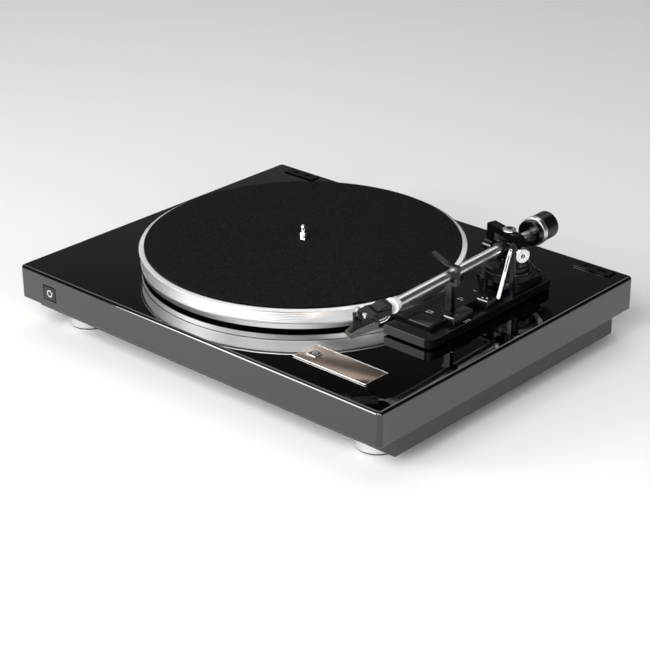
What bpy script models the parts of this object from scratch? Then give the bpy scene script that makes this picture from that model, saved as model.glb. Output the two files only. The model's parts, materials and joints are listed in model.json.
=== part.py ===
"""Belt-driven record player: plinth, platter, control housing and gimbal tone arm.

World frame in metres: +X right, +Y to the rear, +Z up, origin on the floor under the middle.
Run it with blender --background --python part.py or from Blender's text editor.
"""
from math import atan2, cos, hypot, pi, radians, sin

import bmesh
import bpy
from mathutils import Matrix, Vector

MM = 0.001
GAP = 0.3 * MM            # clearance between pieces that touch
RUN_GAP = 0.5 * MM        # clearance between pieces that turn or slide on each other

# Plinth
PLINTH_W = 440 * MM
PLINTH_D = 352.7 * MM
DECK_TOP = 62 * MM        # height of the deck above the floor
DECK_T = 12 * MM
SKIRT_BOTTOM = 30 * MM
WALL_T = 12 * MM
DECK_BOTTOM = DECK_TOP - DECK_T
CORNER_R = 4 * MM
BADGE_X = (32 * MM - PLINTH_W / 2, 50 * MM - PLINTH_W / 2)
BADGE_Z = (DECK_TOP - 25 * MM, DECK_TOP - 10 * MM)
BADGE_T = 0.8 * MM

# Base tray
TRAY_INSET_X = 1.3 * MM
TRAY_INSET_FRONT = 20 * MM
TRAY_INSET_REAR = 29 * MM
TRAY_WALL = 2.5 * MM
TRAY_BOTTOM = 14.5 * MM
TRAY_TOP = SKIRT_BOTTOM - GAP

# Feet
FOOT_R = 19 * MM
FOOT_BORE = 9 * MM
FOOT_X = PLINTH_W / 2 - 41.5 * MM
FOOT_FRONT_Y = 45.35 * MM - PLINTH_D / 2
FOOT_REAR_Y = PLINTH_D / 2 - 54.35 * MM
PAD_H = 1.2 * MM

# Platter
PLATTER_X = -26 * MM
PLATTER_Y = 1 * MM
PLATTER_R = 151 * MM
RIM_BOTTOM = DECK_TOP + 2.6 * MM
RIM_TOP = DECK_TOP + 21.6 * MM
RIM_T = 4.8 * MM
WEB_T = 4 * MM
MAT_T = 1.6 * MM
SPINDLE_R = 3.5 * MM
SPINDLE_RISE = 14 * MM    # spindle tip above the mat
HUB_R = SPINDLE_R + 8.5 * MM
DRIVE_R = 65 * MM
DRIVE_H = 8 * MM
BEARING_R = SPINDLE_R + 5.5 * MM
BEARING_FLANGE_R = 22 * MM
BEARING_BOTTOM = 28 * MM
BALL_R = 2.5 * MM
DECK_BORE_R = BEARING_R + 3 * MM

# Motor and belt
MOTOR_X = -104 * MM
MOTOR_Y = 79 * MM
MOTOR_R = 26 * MM
MOTOR_H = 24 * MM
BRACKET_T = 3.4 * MM
PULLEY_R = 6.5 * MM
PULLEY_STEP_R = 8 * MM
PULLEY_HOLE_R = 11 * MM
SHAFT_R = 1.5 * MM
BELT_T = 1 * MM
BELT_H = 4 * MM

# Control housing on the deck
HOUSE_LEFT = PLATTER_X + PLATTER_R + 4.6 * MM
HOUSE_RIGHT = HOUSE_LEFT + 51.4 * MM
HOUSE_FRONT = -66.5 * MM
HOUSE_REAR = 106 * MM
HOUSE_FOOT_GAP = 1.5 * MM
HOUSE_LEDGE = 9.8 * MM
HOUSE_TOP = 14 * MM
HOUSE_ARC_R = PLATTER_R + 5.5 * MM    # hollow flank round the platter
RECESS_FLOOR = 6.5 * MM

# Tone arm
PIVOT_X = HOUSE_LEFT + 26 * MM
PIVOT_Y = 71.8 * MM
ARM_Z = DECK_TOP + 46.5 * MM
TRUNNION_Z = DECK_TOP + 39.5 * MM
ARM_YAW = radians(2.0)
DIAL_YAW = radians(-25.0)
TUBE_R = 4.75 * MM
TUBE_BORE_R = TUBE_R - 0.85 * MM
TUBE_FRONT = 160 * MM     # head end of the tube ahead of the pivot
TUBE_REAR = 17 * MM
WEIGHT_R = 13.3 * MM
WEIGHT_SHAFT_R = 3.4 * MM
SHAFT_LENGTH = 50.5 * MM
RING_R = 23.5 * MM
RING_BOTTOM = DECK_TOP + 18.3 * MM
RING_TOP = DECK_TOP + 25 * MM
PEDESTAL_TOP = DECK_TOP + 18 * MM
DISH_R = 19.5 * MM         # dark dish of the tower above the ring
DISH_H = 5 * MM

# Plates and badges
HINGE_LEFT_X = (21 * MM - PLINTH_W / 2, 59.6 * MM - PLINTH_W / 2)
HINGE_RIGHT_X = (PLINTH_W / 2 - 53.7 * MM, PLINTH_W / 2 - 15 * MM)
HINGE_Y = (PLINTH_D / 2 - 18.35 * MM, PLINTH_D / 2 - 5.6 * MM)
HINGE_T = 1.2 * MM
HINGE_SLOT = (8 * MM, 3.5 * MM)
NAME_PLATE_X = (100 * MM, 180 * MM)
NAME_PLATE_Y = (28.35 * MM - PLINTH_D / 2, 56.85 * MM - PLINTH_D / 2)
NAME_PLATE_T = 0.9 * MM
NAME_BADGE_W = 10 * MM
NAME_BADGE_T = 0.5 * MM

# Sockets in the rear wall of the tray
SOCKET_Z0 = 19 * MM
SOCKET_Z1 = 28 * MM
TERMINAL_X = 100 * MM
TERMINAL_R = 3 * MM
SOCKET_R = 3.2 * MM
BOARD_X = (20 * MM, 110 * MM)
BOARD_Y = (PLINTH_D / 2 - 106.35 * MM, PLINTH_D / 2 - 48.35 * MM)
BOARD_T = 1.6 * MM
SOCKETS = (
    ("output_sockets", 60 * MM, 86 * MM, SOCKET_Z0, SOCKET_Z1),
    ("power_inlet", -150 * MM, -138 * MM, SOCKET_Z0, SOCKET_Z1),
)

# Belt
BELT_Z0 = DECK_TOP + 10 * MM
BELT_Z1 = BELT_Z0 + BELT_H

# Controls, arm rest and lift
REST_X = PIVOT_X + 3 * MM
REST_Y = -14 * MM
KEY_X = (HOUSE_LEFT + 13.2 * MM, HOUSE_LEFT + 37.4 * MM)
KEY_Y = (-51 * MM, -33 * MM)
KEY_TRAVEL = 2 * MM
LEVER_X = (HOUSE_LEFT + 34.6 * MM, HOUSE_LEFT + 46 * MM)
SLOT_INSET = 3.5 * MM
SPEED_Y = (-30 * MM, -1 * MM)
SIZE_Y = (16 * MM, 32.6 * MM)
LEVER_TOP = 16 * MM
LEVER_TRAVEL = 5 * MM
RECESS_Y = (-31 * MM, 39 * MM)
PLATEAU_FRONT = -50 * MM
PLATEAU_REAR = 53.5 * MM
LATCH_RISE = 2.5 * MM
TOWER_R = 12.5 * MM
FOOT_SPAN = (-55 * MM, 95 * MM)
PLATEAU_RIGHT = HOUSE_LEFT + 39.4 * MM
LIFT_X = PIVOT_X - 5.6 * MM
LIFT_Y = 44 * MM
LIFT_TRAVEL = 5 * MM
LEVER_PIVOT = (PIVOT_X + 20.4 * MM, 47 * MM, DECK_TOP + 53.9 * MM)
LEVER_END = (PIVOT_X + 30.4 * MM, 18 * MM, DECK_TOP + 21 * MM)

# Gimbal frame
YOKE_SHAFT_R = 3.8 * MM
YOKE_YAW = radians(-3.0)
BOW_YAW = radians(-13.0)   # bow of the frame, from the trunnion line
BOW_LEFT = -27 * MM
BOW_TOP = ARM_Z - TRUNNION_Z + TUBE_R + 8.05 * MM
BOW_T = 6 * MM
BOW_DEPTH = 8.5 * MM
YOKE_LOW = -5.7 * MM
YOKE_FLOOR = -3.4 * MM
PIN_R = 1.5 * MM

# Tracking force dial
DIAL_SPOT = (PIVOT_X + 18.9 * MM, 67.5 * MM, DECK_TOP + 41.7 * MM)
DIAL_R = 7.3 * MM
DIAL_T = 3.5 * MM

# Arm block and counterweight
BLOCK_REAR = 11 * MM
WEIGHT_FRONT = 31.2 * MM
WEIGHT_REAR = 60.5 * MM
SCALE_RING = (36.5 * MM, 42 * MM)
TUBE_H = ARM_Z - TRUNNION_Z

# Headshell
HEAD_YAW = radians(-23.0)
PLATE_LOW = 4.5 * MM
PLATE_TOP = 7.5 * MM
SCREW_SPAN = 12.7 * MM
SCREW_Y = -27.3 * MM
CARTRIDGE_X = -1 * MM
SHELL_REAR = -2.8 * MM
SHELL_HALF = 10 * MM
SHELL_FRONT = -34.5 * MM
FINGER_TIP = 19 * MM
FINGER_Y = (-24 * MM, -21.4 * MM)
CARTRIDGE_HALF = 3.7 * MM
CARTRIDGE_FLANGE = 7.9 * MM
CARTRIDGE_Y = (-33 * MM, -13 * MM)
CARTRIDGE_LOW = -8.5 * MM
SCREW_HOLE_R = 1.5 * MM
GUARD_WALL = 0.7 * MM
GUARD_FRONT = -39.5 * MM

SMOOTH_ANGLE = radians(32)


# ---------------------------------------------------------------- tools
def clear_scene():
    for old in list(bpy.data.objects):
        bpy.data.objects.remove(old, do_unlink=True)
    for name in ("record_player", "cutters"):
        fresh = bpy.data.collections.new(name)
        bpy.context.scene.collection.children.link(fresh)


def material(name, colour, roughness, metallic=0.0):
    made = bpy.data.materials.new(name)
    made.use_nodes = True
    shader = made.node_tree.nodes["Principled BSDF"]
    shader.inputs["Base Color"].default_value = (*colour, 1.0)
    shader.inputs["Roughness"].default_value = roughness
    shader.inputs["Metallic"].default_value = metallic
    made.diffuse_color = (*colour, 1.0)
    return made


def add_object(name, mesh, paint, location=(0, 0, 0), rotation=(0, 0, 0), parent=None):
    """Link a mesh into the player's collection; location is in the world or the parent's frame."""
    thing = bpy.data.objects.new(name, mesh)
    bpy.data.collections["record_player"].objects.link(thing)
    if paint is not None:
        mesh.materials.append(paint)
    thing.location = location
    thing.rotation_euler = rotation
    thing.parent = parent
    return thing


def empty(name, location, rotation=(0, 0, 0), parent=None):
    """A joint frame: an empty that moving pieces hang on."""
    pin = bpy.data.objects.new(name, None)
    bpy.data.collections["record_player"].objects.link(pin)
    pin.location = location
    pin.rotation_euler = rotation
    pin.parent = parent
    return pin


def smooth(thing):
    thing.data.shade_smooth()
    thing.data.set_sharp_from_angle(angle=SMOOTH_ANGLE)


def round_edges(thing, width, segments=2, angle=50):
    bevel = thing.modifiers.new("edges", "BEVEL")
    bevel.width = width
    bevel.segments = segments
    bevel.limit_method = "ANGLE"
    bevel.angle_limit = radians(angle)
    return bevel


def box_mesh(name, low, high):
    """A block between two corners."""
    shape = bmesh.new()
    bmesh.ops.create_cube(shape, size=1.0)
    size = [h - l for l, h in zip(low, high)]
    middle = [(h + l) / 2 for l, h in zip(low, high)]
    bmesh.ops.scale(shape, vec=size, verts=shape.verts)
    bmesh.ops.translate(shape, vec=middle, verts=shape.verts)
    mesh = bpy.data.meshes.new(name)
    shape.to_mesh(mesh)
    shape.free()
    return mesh


def block(name, low, high, paint, edge=0.0, **place):
    thing = add_object(name, box_mesh(name, low, high), paint, **place)
    if edge > 0:
        round_edges(thing, edge)
    return thing


def rod_mesh(name, radius, start, end, sides=32):
    """A cylinder between two points."""
    start = Vector(start)
    end = Vector(end)
    along = end - start
    shape = bmesh.new()
    bmesh.ops.create_cone(shape, cap_ends=True, segments=sides, radius1=radius, radius2=radius,
                          depth=along.length)
    turn = along.to_track_quat("Z", "Y").to_matrix().to_4x4()
    bmesh.ops.transform(shape, matrix=Matrix.Translation((start + end) / 2) @ turn, verts=shape.verts)
    mesh = bpy.data.meshes.new(name)
    shape.to_mesh(mesh)
    shape.free()
    return mesh


def rod(name, radius, start, end, paint, sides=32, edge=0.0, **place):
    thing = add_object(name, rod_mesh(name, radius, start, end, sides), paint, **place)
    smooth(thing)
    if edge > 0:
        round_edges(thing, edge, segments=1)
    return thing


def turned(name, profile, paint, steps=48, closed=False, **place):
    """Turn a profile of (radius, height) about Z; it runs down its outer side."""
    points = [(r, 0.0, z) for r, z in profile]
    edges = [(i, i + 1) for i in range(len(points) - 1)]
    if closed:
        edges.append((len(points) - 1, 0))
    mesh = bpy.data.meshes.new(name)
    mesh.from_pydata(points, edges, [])
    thing = add_object(name, mesh, paint, **place)
    screw = thing.modifiers.new("turn", "SCREW")
    screw.axis = "Z"
    screw.angle = 2 * pi
    screw.steps = steps
    screw.render_steps = steps
    screw.use_merge_vertices = True
    screw.merge_threshold = 0.00001
    screw.use_smooth_shade = True
    return thing


def outline_plate(name, outline, bottom, top, paint, holes=(), **place):
    """Extrude a flat outline, with holes, from one height to another."""
    flat = bpy.data.curves.new(name, "CURVE")
    flat.dimensions = "2D"
    flat.fill_mode = "BOTH"
    flat.extrude = (top - bottom) / 2
    for loop in (outline, *holes):
        line = flat.splines.new("POLY")
        line.points.add(len(loop) - 1)
        for point, (x, y) in zip(line.points, loop):
            point.co = (x, y, 0.0, 1.0)
        line.use_cyclic_u = True
    draft = bpy.data.objects.new(name + "_outline", flat)
    bpy.data.collections["record_player"].objects.link(draft)
    bpy.context.view_layer.update()
    mesh = bpy.data.meshes.new_from_object(draft.evaluated_get(bpy.context.evaluated_depsgraph_get()))
    mesh.name = name
    bpy.data.objects.remove(draft, do_unlink=True)
    shape = bmesh.new()
    shape.from_mesh(mesh)
    bmesh.ops.remove_doubles(shape, verts=shape.verts, dist=0.00001)
    bmesh.ops.translate(shape, vec=(0, 0, (top + bottom) / 2), verts=shape.verts)
    bmesh.ops.recalc_face_normals(shape, faces=shape.faces)
    shape.to_mesh(mesh)
    shape.free()
    mesh.materials.clear()
    return add_object(name, mesh, paint, **place)


def cutter(name, mesh, location=(0, 0, 0), rotation=(0, 0, 0), parent=None):
    tool = bpy.data.objects.new(name, mesh)
    bpy.data.collections["cutters"].objects.link(tool)
    tool.location = location
    tool.rotation_euler = rotation
    tool.parent = parent
    tool.hide_render = True
    tool.display_type = "WIRE"
    return tool


def combine(thing, tool, operation="DIFFERENCE"):
    step = thing.modifiers.new(tool.name, "BOOLEAN")
    step.operation = operation
    step.solver = "EXACT"
    step.object = tool
    return step


def cut_rod(thing, radius, start, end, sides=32, **place):
    name = f"{thing.name}_bore_{len(thing.modifiers)}"
    return combine(thing, cutter(name, rod_mesh(name, radius, start, end, sides), **place))


def cut_block(thing, low, high, **place):
    name = f"{thing.name}_slot_{len(thing.modifiers)}"
    return combine(thing, cutter(name, box_mesh(name, low, high), **place))


def join_mesh(thing, mesh, **place):
    name = f"{thing.name}_join_{len(thing.modifiers)}"
    mesh.name = name
    return combine(thing, cutter(name, mesh, **place), "UNION")


def arc(cx, cy, radius, start, end, steps):
    """Points along an arc, angles in degrees."""
    points = []
    for i in range(steps + 1):
        angle = radians(start + (end - start) * i / steps)
        points.append((cx + radius * cos(angle), cy + radius * sin(angle)))
    return points


def rounded_rectangle(x0, y0, x1, y1, radius, steps=4):
    corners = ((x1, y1, 0), (x0, y1, 90), (x0, y0, 180), (x1, y0, 270))
    points = []
    for x, y, start in corners:
        cx = x - radius if x == x1 else x + radius
        cy = y - radius if y == y1 else y + radius
        points += arc(cx, cy, radius, start, start + 90, steps)
    return points


# ---------------------------------------------------------------- plinth and feet
def make_paints():
    return {
        "lacquer": material("black_lacquer", (0.012, 0.012, 0.013), 0.06),
        "tray": material("grey_moulding", (0.045, 0.045, 0.045), 0.5),
        "satin": material("satin_black", (0.02, 0.021, 0.023), 0.38),
        "chrome": material("chrome", (0.78, 0.78, 0.79), 0.08, 1.0),
        "turned": material("turned_aluminium", (0.83, 0.83, 0.82), 0.16, 1.0),
        "tube": material("satin_aluminium", (0.76, 0.76, 0.76), 0.24, 1.0),
        "steel": material("bright_steel", (0.6, 0.6, 0.62), 0.2, 1.0),
        "brass": material("brass", (0.62, 0.44, 0.2), 0.3, 1.0),
        "felt": material("black_felt", (0.012, 0.012, 0.013), 0.95),
        "rubber": material("rubber", (0.02, 0.02, 0.02), 0.8),
        "bronze": material("bronze_mirror", (0.28, 0.2, 0.14), 0.12, 0.9),
        "badge": material("badge_silver", (0.8, 0.8, 0.8), 0.25, 1.0),
        "smoke": material("smoky_clear", (0.2, 0.19, 0.18), 0.1),
        "green": material("circuit_green", (0.03, 0.12, 0.06), 0.5),
    }


def make_plinth(paint):
    half_w = PLINTH_W / 2
    half_d = PLINTH_D / 2
    panel_top = DECK_BOTTOM - GAP
    front_back = -half_d + TRAY_INSET_FRONT + TRAY_WALL + 1.5 * MM
    rear_front = half_d - TRAY_INSET_REAR - TRAY_WALL - 1.5 * MM
    deck = outline_plate("top_panel", rounded_rectangle(-half_w, -half_d, half_w, half_d, CORNER_R),
                         DECK_BOTTOM, DECK_TOP, paint["lacquer"])
    holes = ((PLATTER_X, PLATTER_Y, DECK_BORE_R), (MOTOR_X, MOTOR_Y, PULLEY_HOLE_R))
    for x, y, radius in holes:
        cut_rod(deck, radius, (x, y, DECK_BOTTOM - MM), (x, y, DECK_TOP + MM))
    front = block("front_panel", (-half_w, -half_d, SKIRT_BOTTOM), (half_w, front_back, panel_top),
                  paint["lacquer"])
    for panel in (deck, front):
        cut_block(panel, (BADGE_X[0] - GAP, -half_d - 5 * MM, BADGE_Z[0] - GAP),
                  (BADGE_X[1] + GAP, -half_d + BADGE_T + GAP, BADGE_Z[1] + GAP))
    block("rear_panel", (-half_w, rear_front, SKIRT_BOTTOM), (half_w, half_d, panel_top),
          paint["lacquer"])
    for name, side in (("left_panel", -1), ("right_panel", 1)):
        near = side * (half_w - WALL_T)
        far = side * half_w
        block(name, (min(near, far), front_back + GAP, SKIRT_BOTTOM),
              (max(near, far), rear_front - GAP, panel_top), paint["lacquer"])


def make_tray(paint):
    x = PLINTH_W / 2 - TRAY_INSET_X
    front = -PLINTH_D / 2 + TRAY_INSET_FRONT
    rear = PLINTH_D / 2 - TRAY_INSET_REAR
    tray = block("base_tray", (-x, front, TRAY_BOTTOM), (x, rear, TRAY_TOP), paint["tray"])
    cut_block(tray, (-x + TRAY_WALL, front + TRAY_WALL, TRAY_BOTTOM + TRAY_WALL),
              (x - TRAY_WALL, rear - TRAY_WALL, TRAY_TOP + 5 * MM))
    for _, left, right, low, high in SOCKETS:
        cut_block(tray, (left, rear - 2 * TRAY_WALL, low), (right, rear + TRAY_WALL, high))


def make_feet(paint):
    top = TRAY_BOTTOM - GAP
    places = (("front_left", -1, FOOT_FRONT_Y), ("front_right", 1, FOOT_FRONT_Y),
              ("rear_left", -1, FOOT_REAR_Y), ("rear_right", 1, FOOT_REAR_Y))
    low = PAD_H + GAP
    ring = ((FOOT_BORE, top), (FOOT_R - 0.8 * MM, top), (FOOT_R, top - 0.8 * MM),
            (FOOT_R, low + 0.8 * MM), (FOOT_R - 0.8 * MM, low), (FOOT_BORE, low))
    plug = top - MM
    pad = ((0, plug), (FOOT_BORE - GAP, plug), (FOOT_BORE - GAP, PAD_H),
           (FOOT_R - 1.5 * MM, PAD_H), (FOOT_R - 1.5 * MM, 0), (0, 0))
    for corner, side, y in places:
        spot = (side * FOOT_X, y, 0)
        turned("foot_ring_" + corner, ring, paint["chrome"], steps=40, closed=True, location=spot)
        turned("foot_pad_" + corner, pad, paint["rubber"], steps=32, location=spot)


# ---------------------------------------------------------------- bearing, motor and belt
def make_bearing(paint):
    centre = (PLATTER_X, PLATTER_Y, 0)
    top = DECK_TOP + 2 * MM
    flange = DECK_BOTTOM - GAP
    flange_low = flange - 2.7 * MM
    bore = BEARING_R - 2 * MM
    floor = BEARING_BOTTOM + 4 * MM
    housing = ((0, floor), (bore, floor), (bore, top), (BEARING_R, top), (BEARING_R, flange),
               (BEARING_FLANGE_R, flange), (BEARING_FLANGE_R, flange_low), (BEARING_R, flange_low),
               (BEARING_R, BEARING_BOTTOM), (0, BEARING_BOTTOM))
    turned("bearing_housing", housing, paint["steel"], steps=40, location=centre)
    inner = SPINDLE_R + GAP
    bush_low = floor + 2 * BALL_R + 2 * MM
    bush = ((inner, top - MM), (bore - GAP, top - MM), (bore - GAP, bush_low), (inner, bush_low))
    turned("bearing_bush", bush, paint["brass"], steps=32, closed=True, location=centre)
    shape = bmesh.new()
    bmesh.ops.create_uvsphere(shape, u_segments=20, v_segments=12, radius=BALL_R)
    mesh = bpy.data.meshes.new("thrust_ball")
    shape.to_mesh(mesh)
    shape.free()
    ball = add_object("thrust_ball", mesh, paint["steel"],
                      location=(PLATTER_X, PLATTER_Y, floor + GAP + BALL_R))
    smooth(ball)
    return floor + 2 * GAP + 2 * BALL_R


def belt_loop(spread):
    """Outline of the belt round the drive rim and the pulley, at a distance from both."""
    dx = MOTOR_X - PLATTER_X
    dy = MOTOR_Y - PLATTER_Y
    span = hypot(dx, dy)
    big = DRIVE_R + spread
    small = PULLEY_R + spread
    way = atan2(dy, dx) * 180 / pi
    touch = 90 - (180 / pi) * atan2(big - small, (span ** 2 - (big - small) ** 2) ** 0.5)
    return (arc(PLATTER_X, PLATTER_Y, big, way + touch, way + 360 - touch, 40)
            + arc(MOTOR_X, MOTOR_Y, small, way - touch, way + touch, 12))


def make_drive(paint):
    spot = (MOTOR_X, MOTOR_Y, 0)
    bracket_top = DECK_BOTTOM - GAP
    bracket_low = bracket_top - BRACKET_T
    motor_top = bracket_low - GAP
    motor_low = motor_top - MOTOR_H
    wide = MOTOR_R + 10 * MM
    deep = MOTOR_R + 3 * MM
    bracket = outline_plate("motor_bracket", rounded_rectangle(-wide, -deep, wide, deep, 6 * MM),
                            bracket_low, bracket_top, paint["steel"], location=spot)
    cut_rod(bracket, PULLEY_HOLE_R, (0, 0, bracket_low - MM), (0, 0, bracket_top + MM), location=spot)
    edge = MM
    shaft_hole = SHAFT_R + RUN_GAP
    floor = motor_low + 8 * MM
    motor = ((0, floor), (shaft_hole, floor), (shaft_hole, motor_top), (MOTOR_R - edge, motor_top),
             (MOTOR_R, motor_top - edge), (MOTOR_R, motor_low + edge), (MOTOR_R - edge, motor_low),
             (0, motor_low))
    turned("motor_body", motor, paint["steel"], steps=40, location=spot)
    low = DECK_TOP + 3 * MM
    step = BELT_Z0 - 1.5 * MM
    top = BELT_Z1 + 2 * MM
    pulley = ((0, top), (PULLEY_R - 0.5 * MM, top), (PULLEY_R, top - 0.5 * MM), (PULLEY_R, step),
              (PULLEY_STEP_R, step), (PULLEY_STEP_R, low), (SHAFT_R, low), (SHAFT_R, floor + MM),
              (0, floor + MM))
    turned("motor_pulley", pulley, paint["brass"], steps=36, location=spot)
    outline_plate("drive_belt", belt_loop(GAP + BELT_T), BELT_Z0, BELT_Z1, paint["rubber"],
                  holes=(belt_loop(GAP),))


def make_platter(paint, spindle_foot):
    centre = (PLATTER_X, PLATTER_Y, 0)
    bore = SPINDLE_R + GAP
    web_low = RIM_TOP - WEB_T
    hub_top = web_low - GAP
    drive_low = BELT_Z0 - 2 * MM
    drive = ((bore, hub_top), (HUB_R, hub_top), (HUB_R, drive_low + DRIVE_H),
             (DRIVE_R - MM, drive_low + DRIVE_H), (DRIVE_R - MM, BELT_Z1 + 1.5 * MM),
             (DRIVE_R, BELT_Z1 + 0.5 * MM), (DRIVE_R, drive_low), (HUB_R, drive_low),
             (HUB_R, DECK_TOP + 4 * MM), (bore, DECK_TOP + 4 * MM))
    turned("subplatter", drive, paint["satin"], steps=64, closed=True, location=centre)
    flange = 2.2 * MM
    neck = 1.8 * MM
    ridge = RIM_BOTTOM + 5 * MM
    inner = PLATTER_R - 7 * MM
    rim = ((bore, RIM_TOP), (PLATTER_R - 0.5 * MM, RIM_TOP), (PLATTER_R, RIM_TOP - 0.5 * MM),
           (PLATTER_R, RIM_TOP - flange), (PLATTER_R - neck, RIM_TOP - flange - 0.3 * MM),
           (PLATTER_R - neck, ridge + 0.4 * MM), (PLATTER_R - neck + 0.5 * MM, ridge),
           (PLATTER_R - neck, ridge - 0.4 * MM), (PLATTER_R - neck - 0.4 * MM, RIM_BOTTOM),
           (inner, RIM_BOTTOM), (inner, web_low), (bore, web_low))
    turned("platter", rim, paint["turned"], steps=96, closed=True, location=centre)
    mat_low = RIM_TOP + GAP
    mat_top = mat_low + MAT_T
    mat_r = PLATTER_R - RIM_T
    mat = ((bore, mat_top), (mat_r - 0.4 * MM, mat_top), (mat_r, mat_top - 0.4 * MM),
           (mat_r, mat_low), (bore, mat_low))
    turned("platter_mat", mat, paint["felt"], steps=80, closed=True, location=centre)
    tip = mat_top + SPINDLE_RISE
    spindle = [(0, tip)]
    for i in range(1, 5):
        angle = radians(90 - i * 18)
        spindle.append((2.2 * MM * cos(angle), tip - 2.2 * MM + 2.2 * MM * sin(angle)))
    spindle += [(SPINDLE_R - 0.3 * MM, mat_top + 6.5 * MM), (SPINDLE_R, mat_top + 5.5 * MM),
                (SPINDLE_R, spindle_foot + 0.5 * MM), (SPINDLE_R - 0.5 * MM, spindle_foot),
                (0, spindle_foot)]
    turned("spindle", spindle, paint["chrome"], steps=24, location=centre)


# ---------------------------------------------------------------- control housing and levers


def house_outline(inset):
    """Plan of the housing: square front, hollow left flank round the platter."""
    left = HOUSE_LEFT + inset
    right = HOUSE_RIGHT - inset
    front = HOUSE_FRONT + inset
    rear = HOUSE_REAR - inset
    hollow = HOUSE_ARC_R + inset
    corner = 7 * MM
    start = atan2((hollow ** 2 - (left - PLATTER_X) ** 2) ** 0.5, left - PLATTER_X) * 180 / pi
    flank = arc(PLATTER_X, PLATTER_Y, hollow, start, 25.5, 5)
    tail_x = flank[-1][0] + 3 * MM
    return ([(left, front)] + arc(right - corner, front + corner, corner, -90, 0, 5)
            + arc(right - corner, rear - corner, corner, 0, 90, 5)
            + arc(tail_x + corner, rear - corner, corner, 90, 180, 4) + flank[::-1])


def make_housing(paint):
    low = DECK_TOP + HOUSE_FOOT_GAP
    ledge = DECK_TOP + HOUSE_LEDGE
    top = DECK_TOP + HOUSE_TOP
    skin = paint["satin"]
    house = outline_plate("control_housing", house_outline(0), low, ledge, skin)
    bevel = house.modifiers.new("ledge_edge", "BEVEL")
    bevel.width = 0.8 * MM
    bevel.segments = 2
    bevel.limit_method = "ANGLE"
    bevel.angle_limit = radians(60)
    plateau = box_mesh("plateau", (HOUSE_LEFT + 0.9 * MM, PLATEAU_FRONT, ledge - 4 * MM),
                       (PLATEAU_RIGHT, PLATEAU_REAR, top))
    join_mesh(house, plateau)
    foot = box_mesh("foot", (HOUSE_LEFT + 10.4 * MM, FOOT_SPAN[0], DECK_TOP + GAP),
                    (HOUSE_RIGHT - 9 * MM, FOOT_SPAN[1], low + MM))
    join_mesh(house, foot)
    cut_block(house, (LEVER_X[0] - 0.9 * MM, RECESS_Y[0], DECK_TOP + RECESS_FLOOR),
              (LEVER_X[1] + 0.8 * MM, RECESS_Y[1], top + 5 * MM))
    cut_block(house, (KEY_X[0] - RUN_GAP, KEY_Y[0] - RUN_GAP, DECK_TOP + 6 * MM),
              (KEY_X[1] + RUN_GAP, KEY_Y[1] + RUN_GAP, top + 5 * MM))
    slot = (LEVER_X[0] + SLOT_INSET, LEVER_X[1] - SLOT_INSET)
    for span in (SPEED_Y, SIZE_Y):
        middle = sum(span) / 2
        reach = 3 * MM + LEVER_TRAVEL
        cut_block(house, (slot[0], middle - reach, DECK_TOP + 3 * MM),
                  (slot[1], middle + reach, DECK_TOP + RECESS_FLOOR + MM))
    return house


def make_controls(paint):
    low = DECK_TOP + 6 * MM + GAP + KEY_TRAVEL
    block("start_stop_key", (KEY_X[0], KEY_Y[0], low), (KEY_X[1], KEY_Y[1], DECK_TOP + HOUSE_TOP),
          paint["satin"], edge=0.5 * MM)
    floor = DECK_TOP + RECESS_FLOOR
    slot = (LEVER_X[0] + SLOT_INSET + RUN_GAP, LEVER_X[1] - SLOT_INSET - RUN_GAP)
    for name, span in (("speed_lever", SPEED_Y), ("size_lever", SIZE_Y)):
        lever = block(name, (LEVER_X[0], span[0], floor + GAP),
                      (LEVER_X[1], span[1], DECK_TOP + LEVER_TOP), paint["satin"])
        middle = sum(span) / 2
        stem = box_mesh("stem", (slot[0], middle - 2.5 * MM, floor - 3 * MM),
                        (slot[1], middle + 2.5 * MM, floor + MM))
        join_mesh(lever, stem)
        round_edges(lever, 0.6 * MM)


def make_rest(paint):
    """Arm rest: a post with a cradle open toward the platter, and its latch."""
    top = DECK_TOP + HOUSE_TOP + GAP
    tube_low = ARM_Z - TUBE_R
    seat = tube_low - GAP
    post = block("rest_post", (REST_X - 6 * MM, REST_Y - 4 * MM, top),
                 (REST_X + 3.5 * MM, REST_Y + 4 * MM, top + 1.6 * MM), paint["satin"])
    join_mesh(post, box_mesh("stem", (REST_X - 3 * MM, REST_Y - 2.5 * MM, top + MM),
                             (REST_X + 3.5 * MM, REST_Y + 2.5 * MM, seat)))
    join_mesh(post, box_mesh("seat", (REST_X - 5 * MM, REST_Y - 2.5 * MM, seat - 3 * MM),
                             (REST_X + 9 * MM, REST_Y + 2.5 * MM, seat)))
    wall = REST_X + TUBE_R + 1.6 * MM
    join_mesh(post, box_mesh("wall", (wall, REST_Y - 2.5 * MM, seat - MM),
                             (REST_X + 9 * MM, REST_Y + 2.5 * MM, ARM_Z)))
    hinge_z = ARM_Z + LATCH_RISE
    arch_low = ARM_Z + TUBE_R + 3.6 * MM
    hinge_x = wall + 1.3 * MM
    pin = empty("latch_pin", (hinge_x, REST_Y, hinge_z))
    reach = REST_X - hinge_x
    rise = arch_low - hinge_z
    outline = ((-1.3 * MM, -1.8 * MM), (1.3 * MM, -1.8 * MM), (1.3 * MM, rise + 1.6 * MM),
               (reach - 3 * MM, rise + 1.6 * MM), (reach - 19 * MM, rise + 8 * MM),
               (reach - 20 * MM, rise + 6.4 * MM), (reach - 3.6 * MM, rise), (-1.3 * MM, rise))
    outline_plate("rest_latch", outline, -2.5 * MM, 2.5 * MM, paint["satin"],
                  rotation=(pi / 2, 0, 0), parent=pin)


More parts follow.
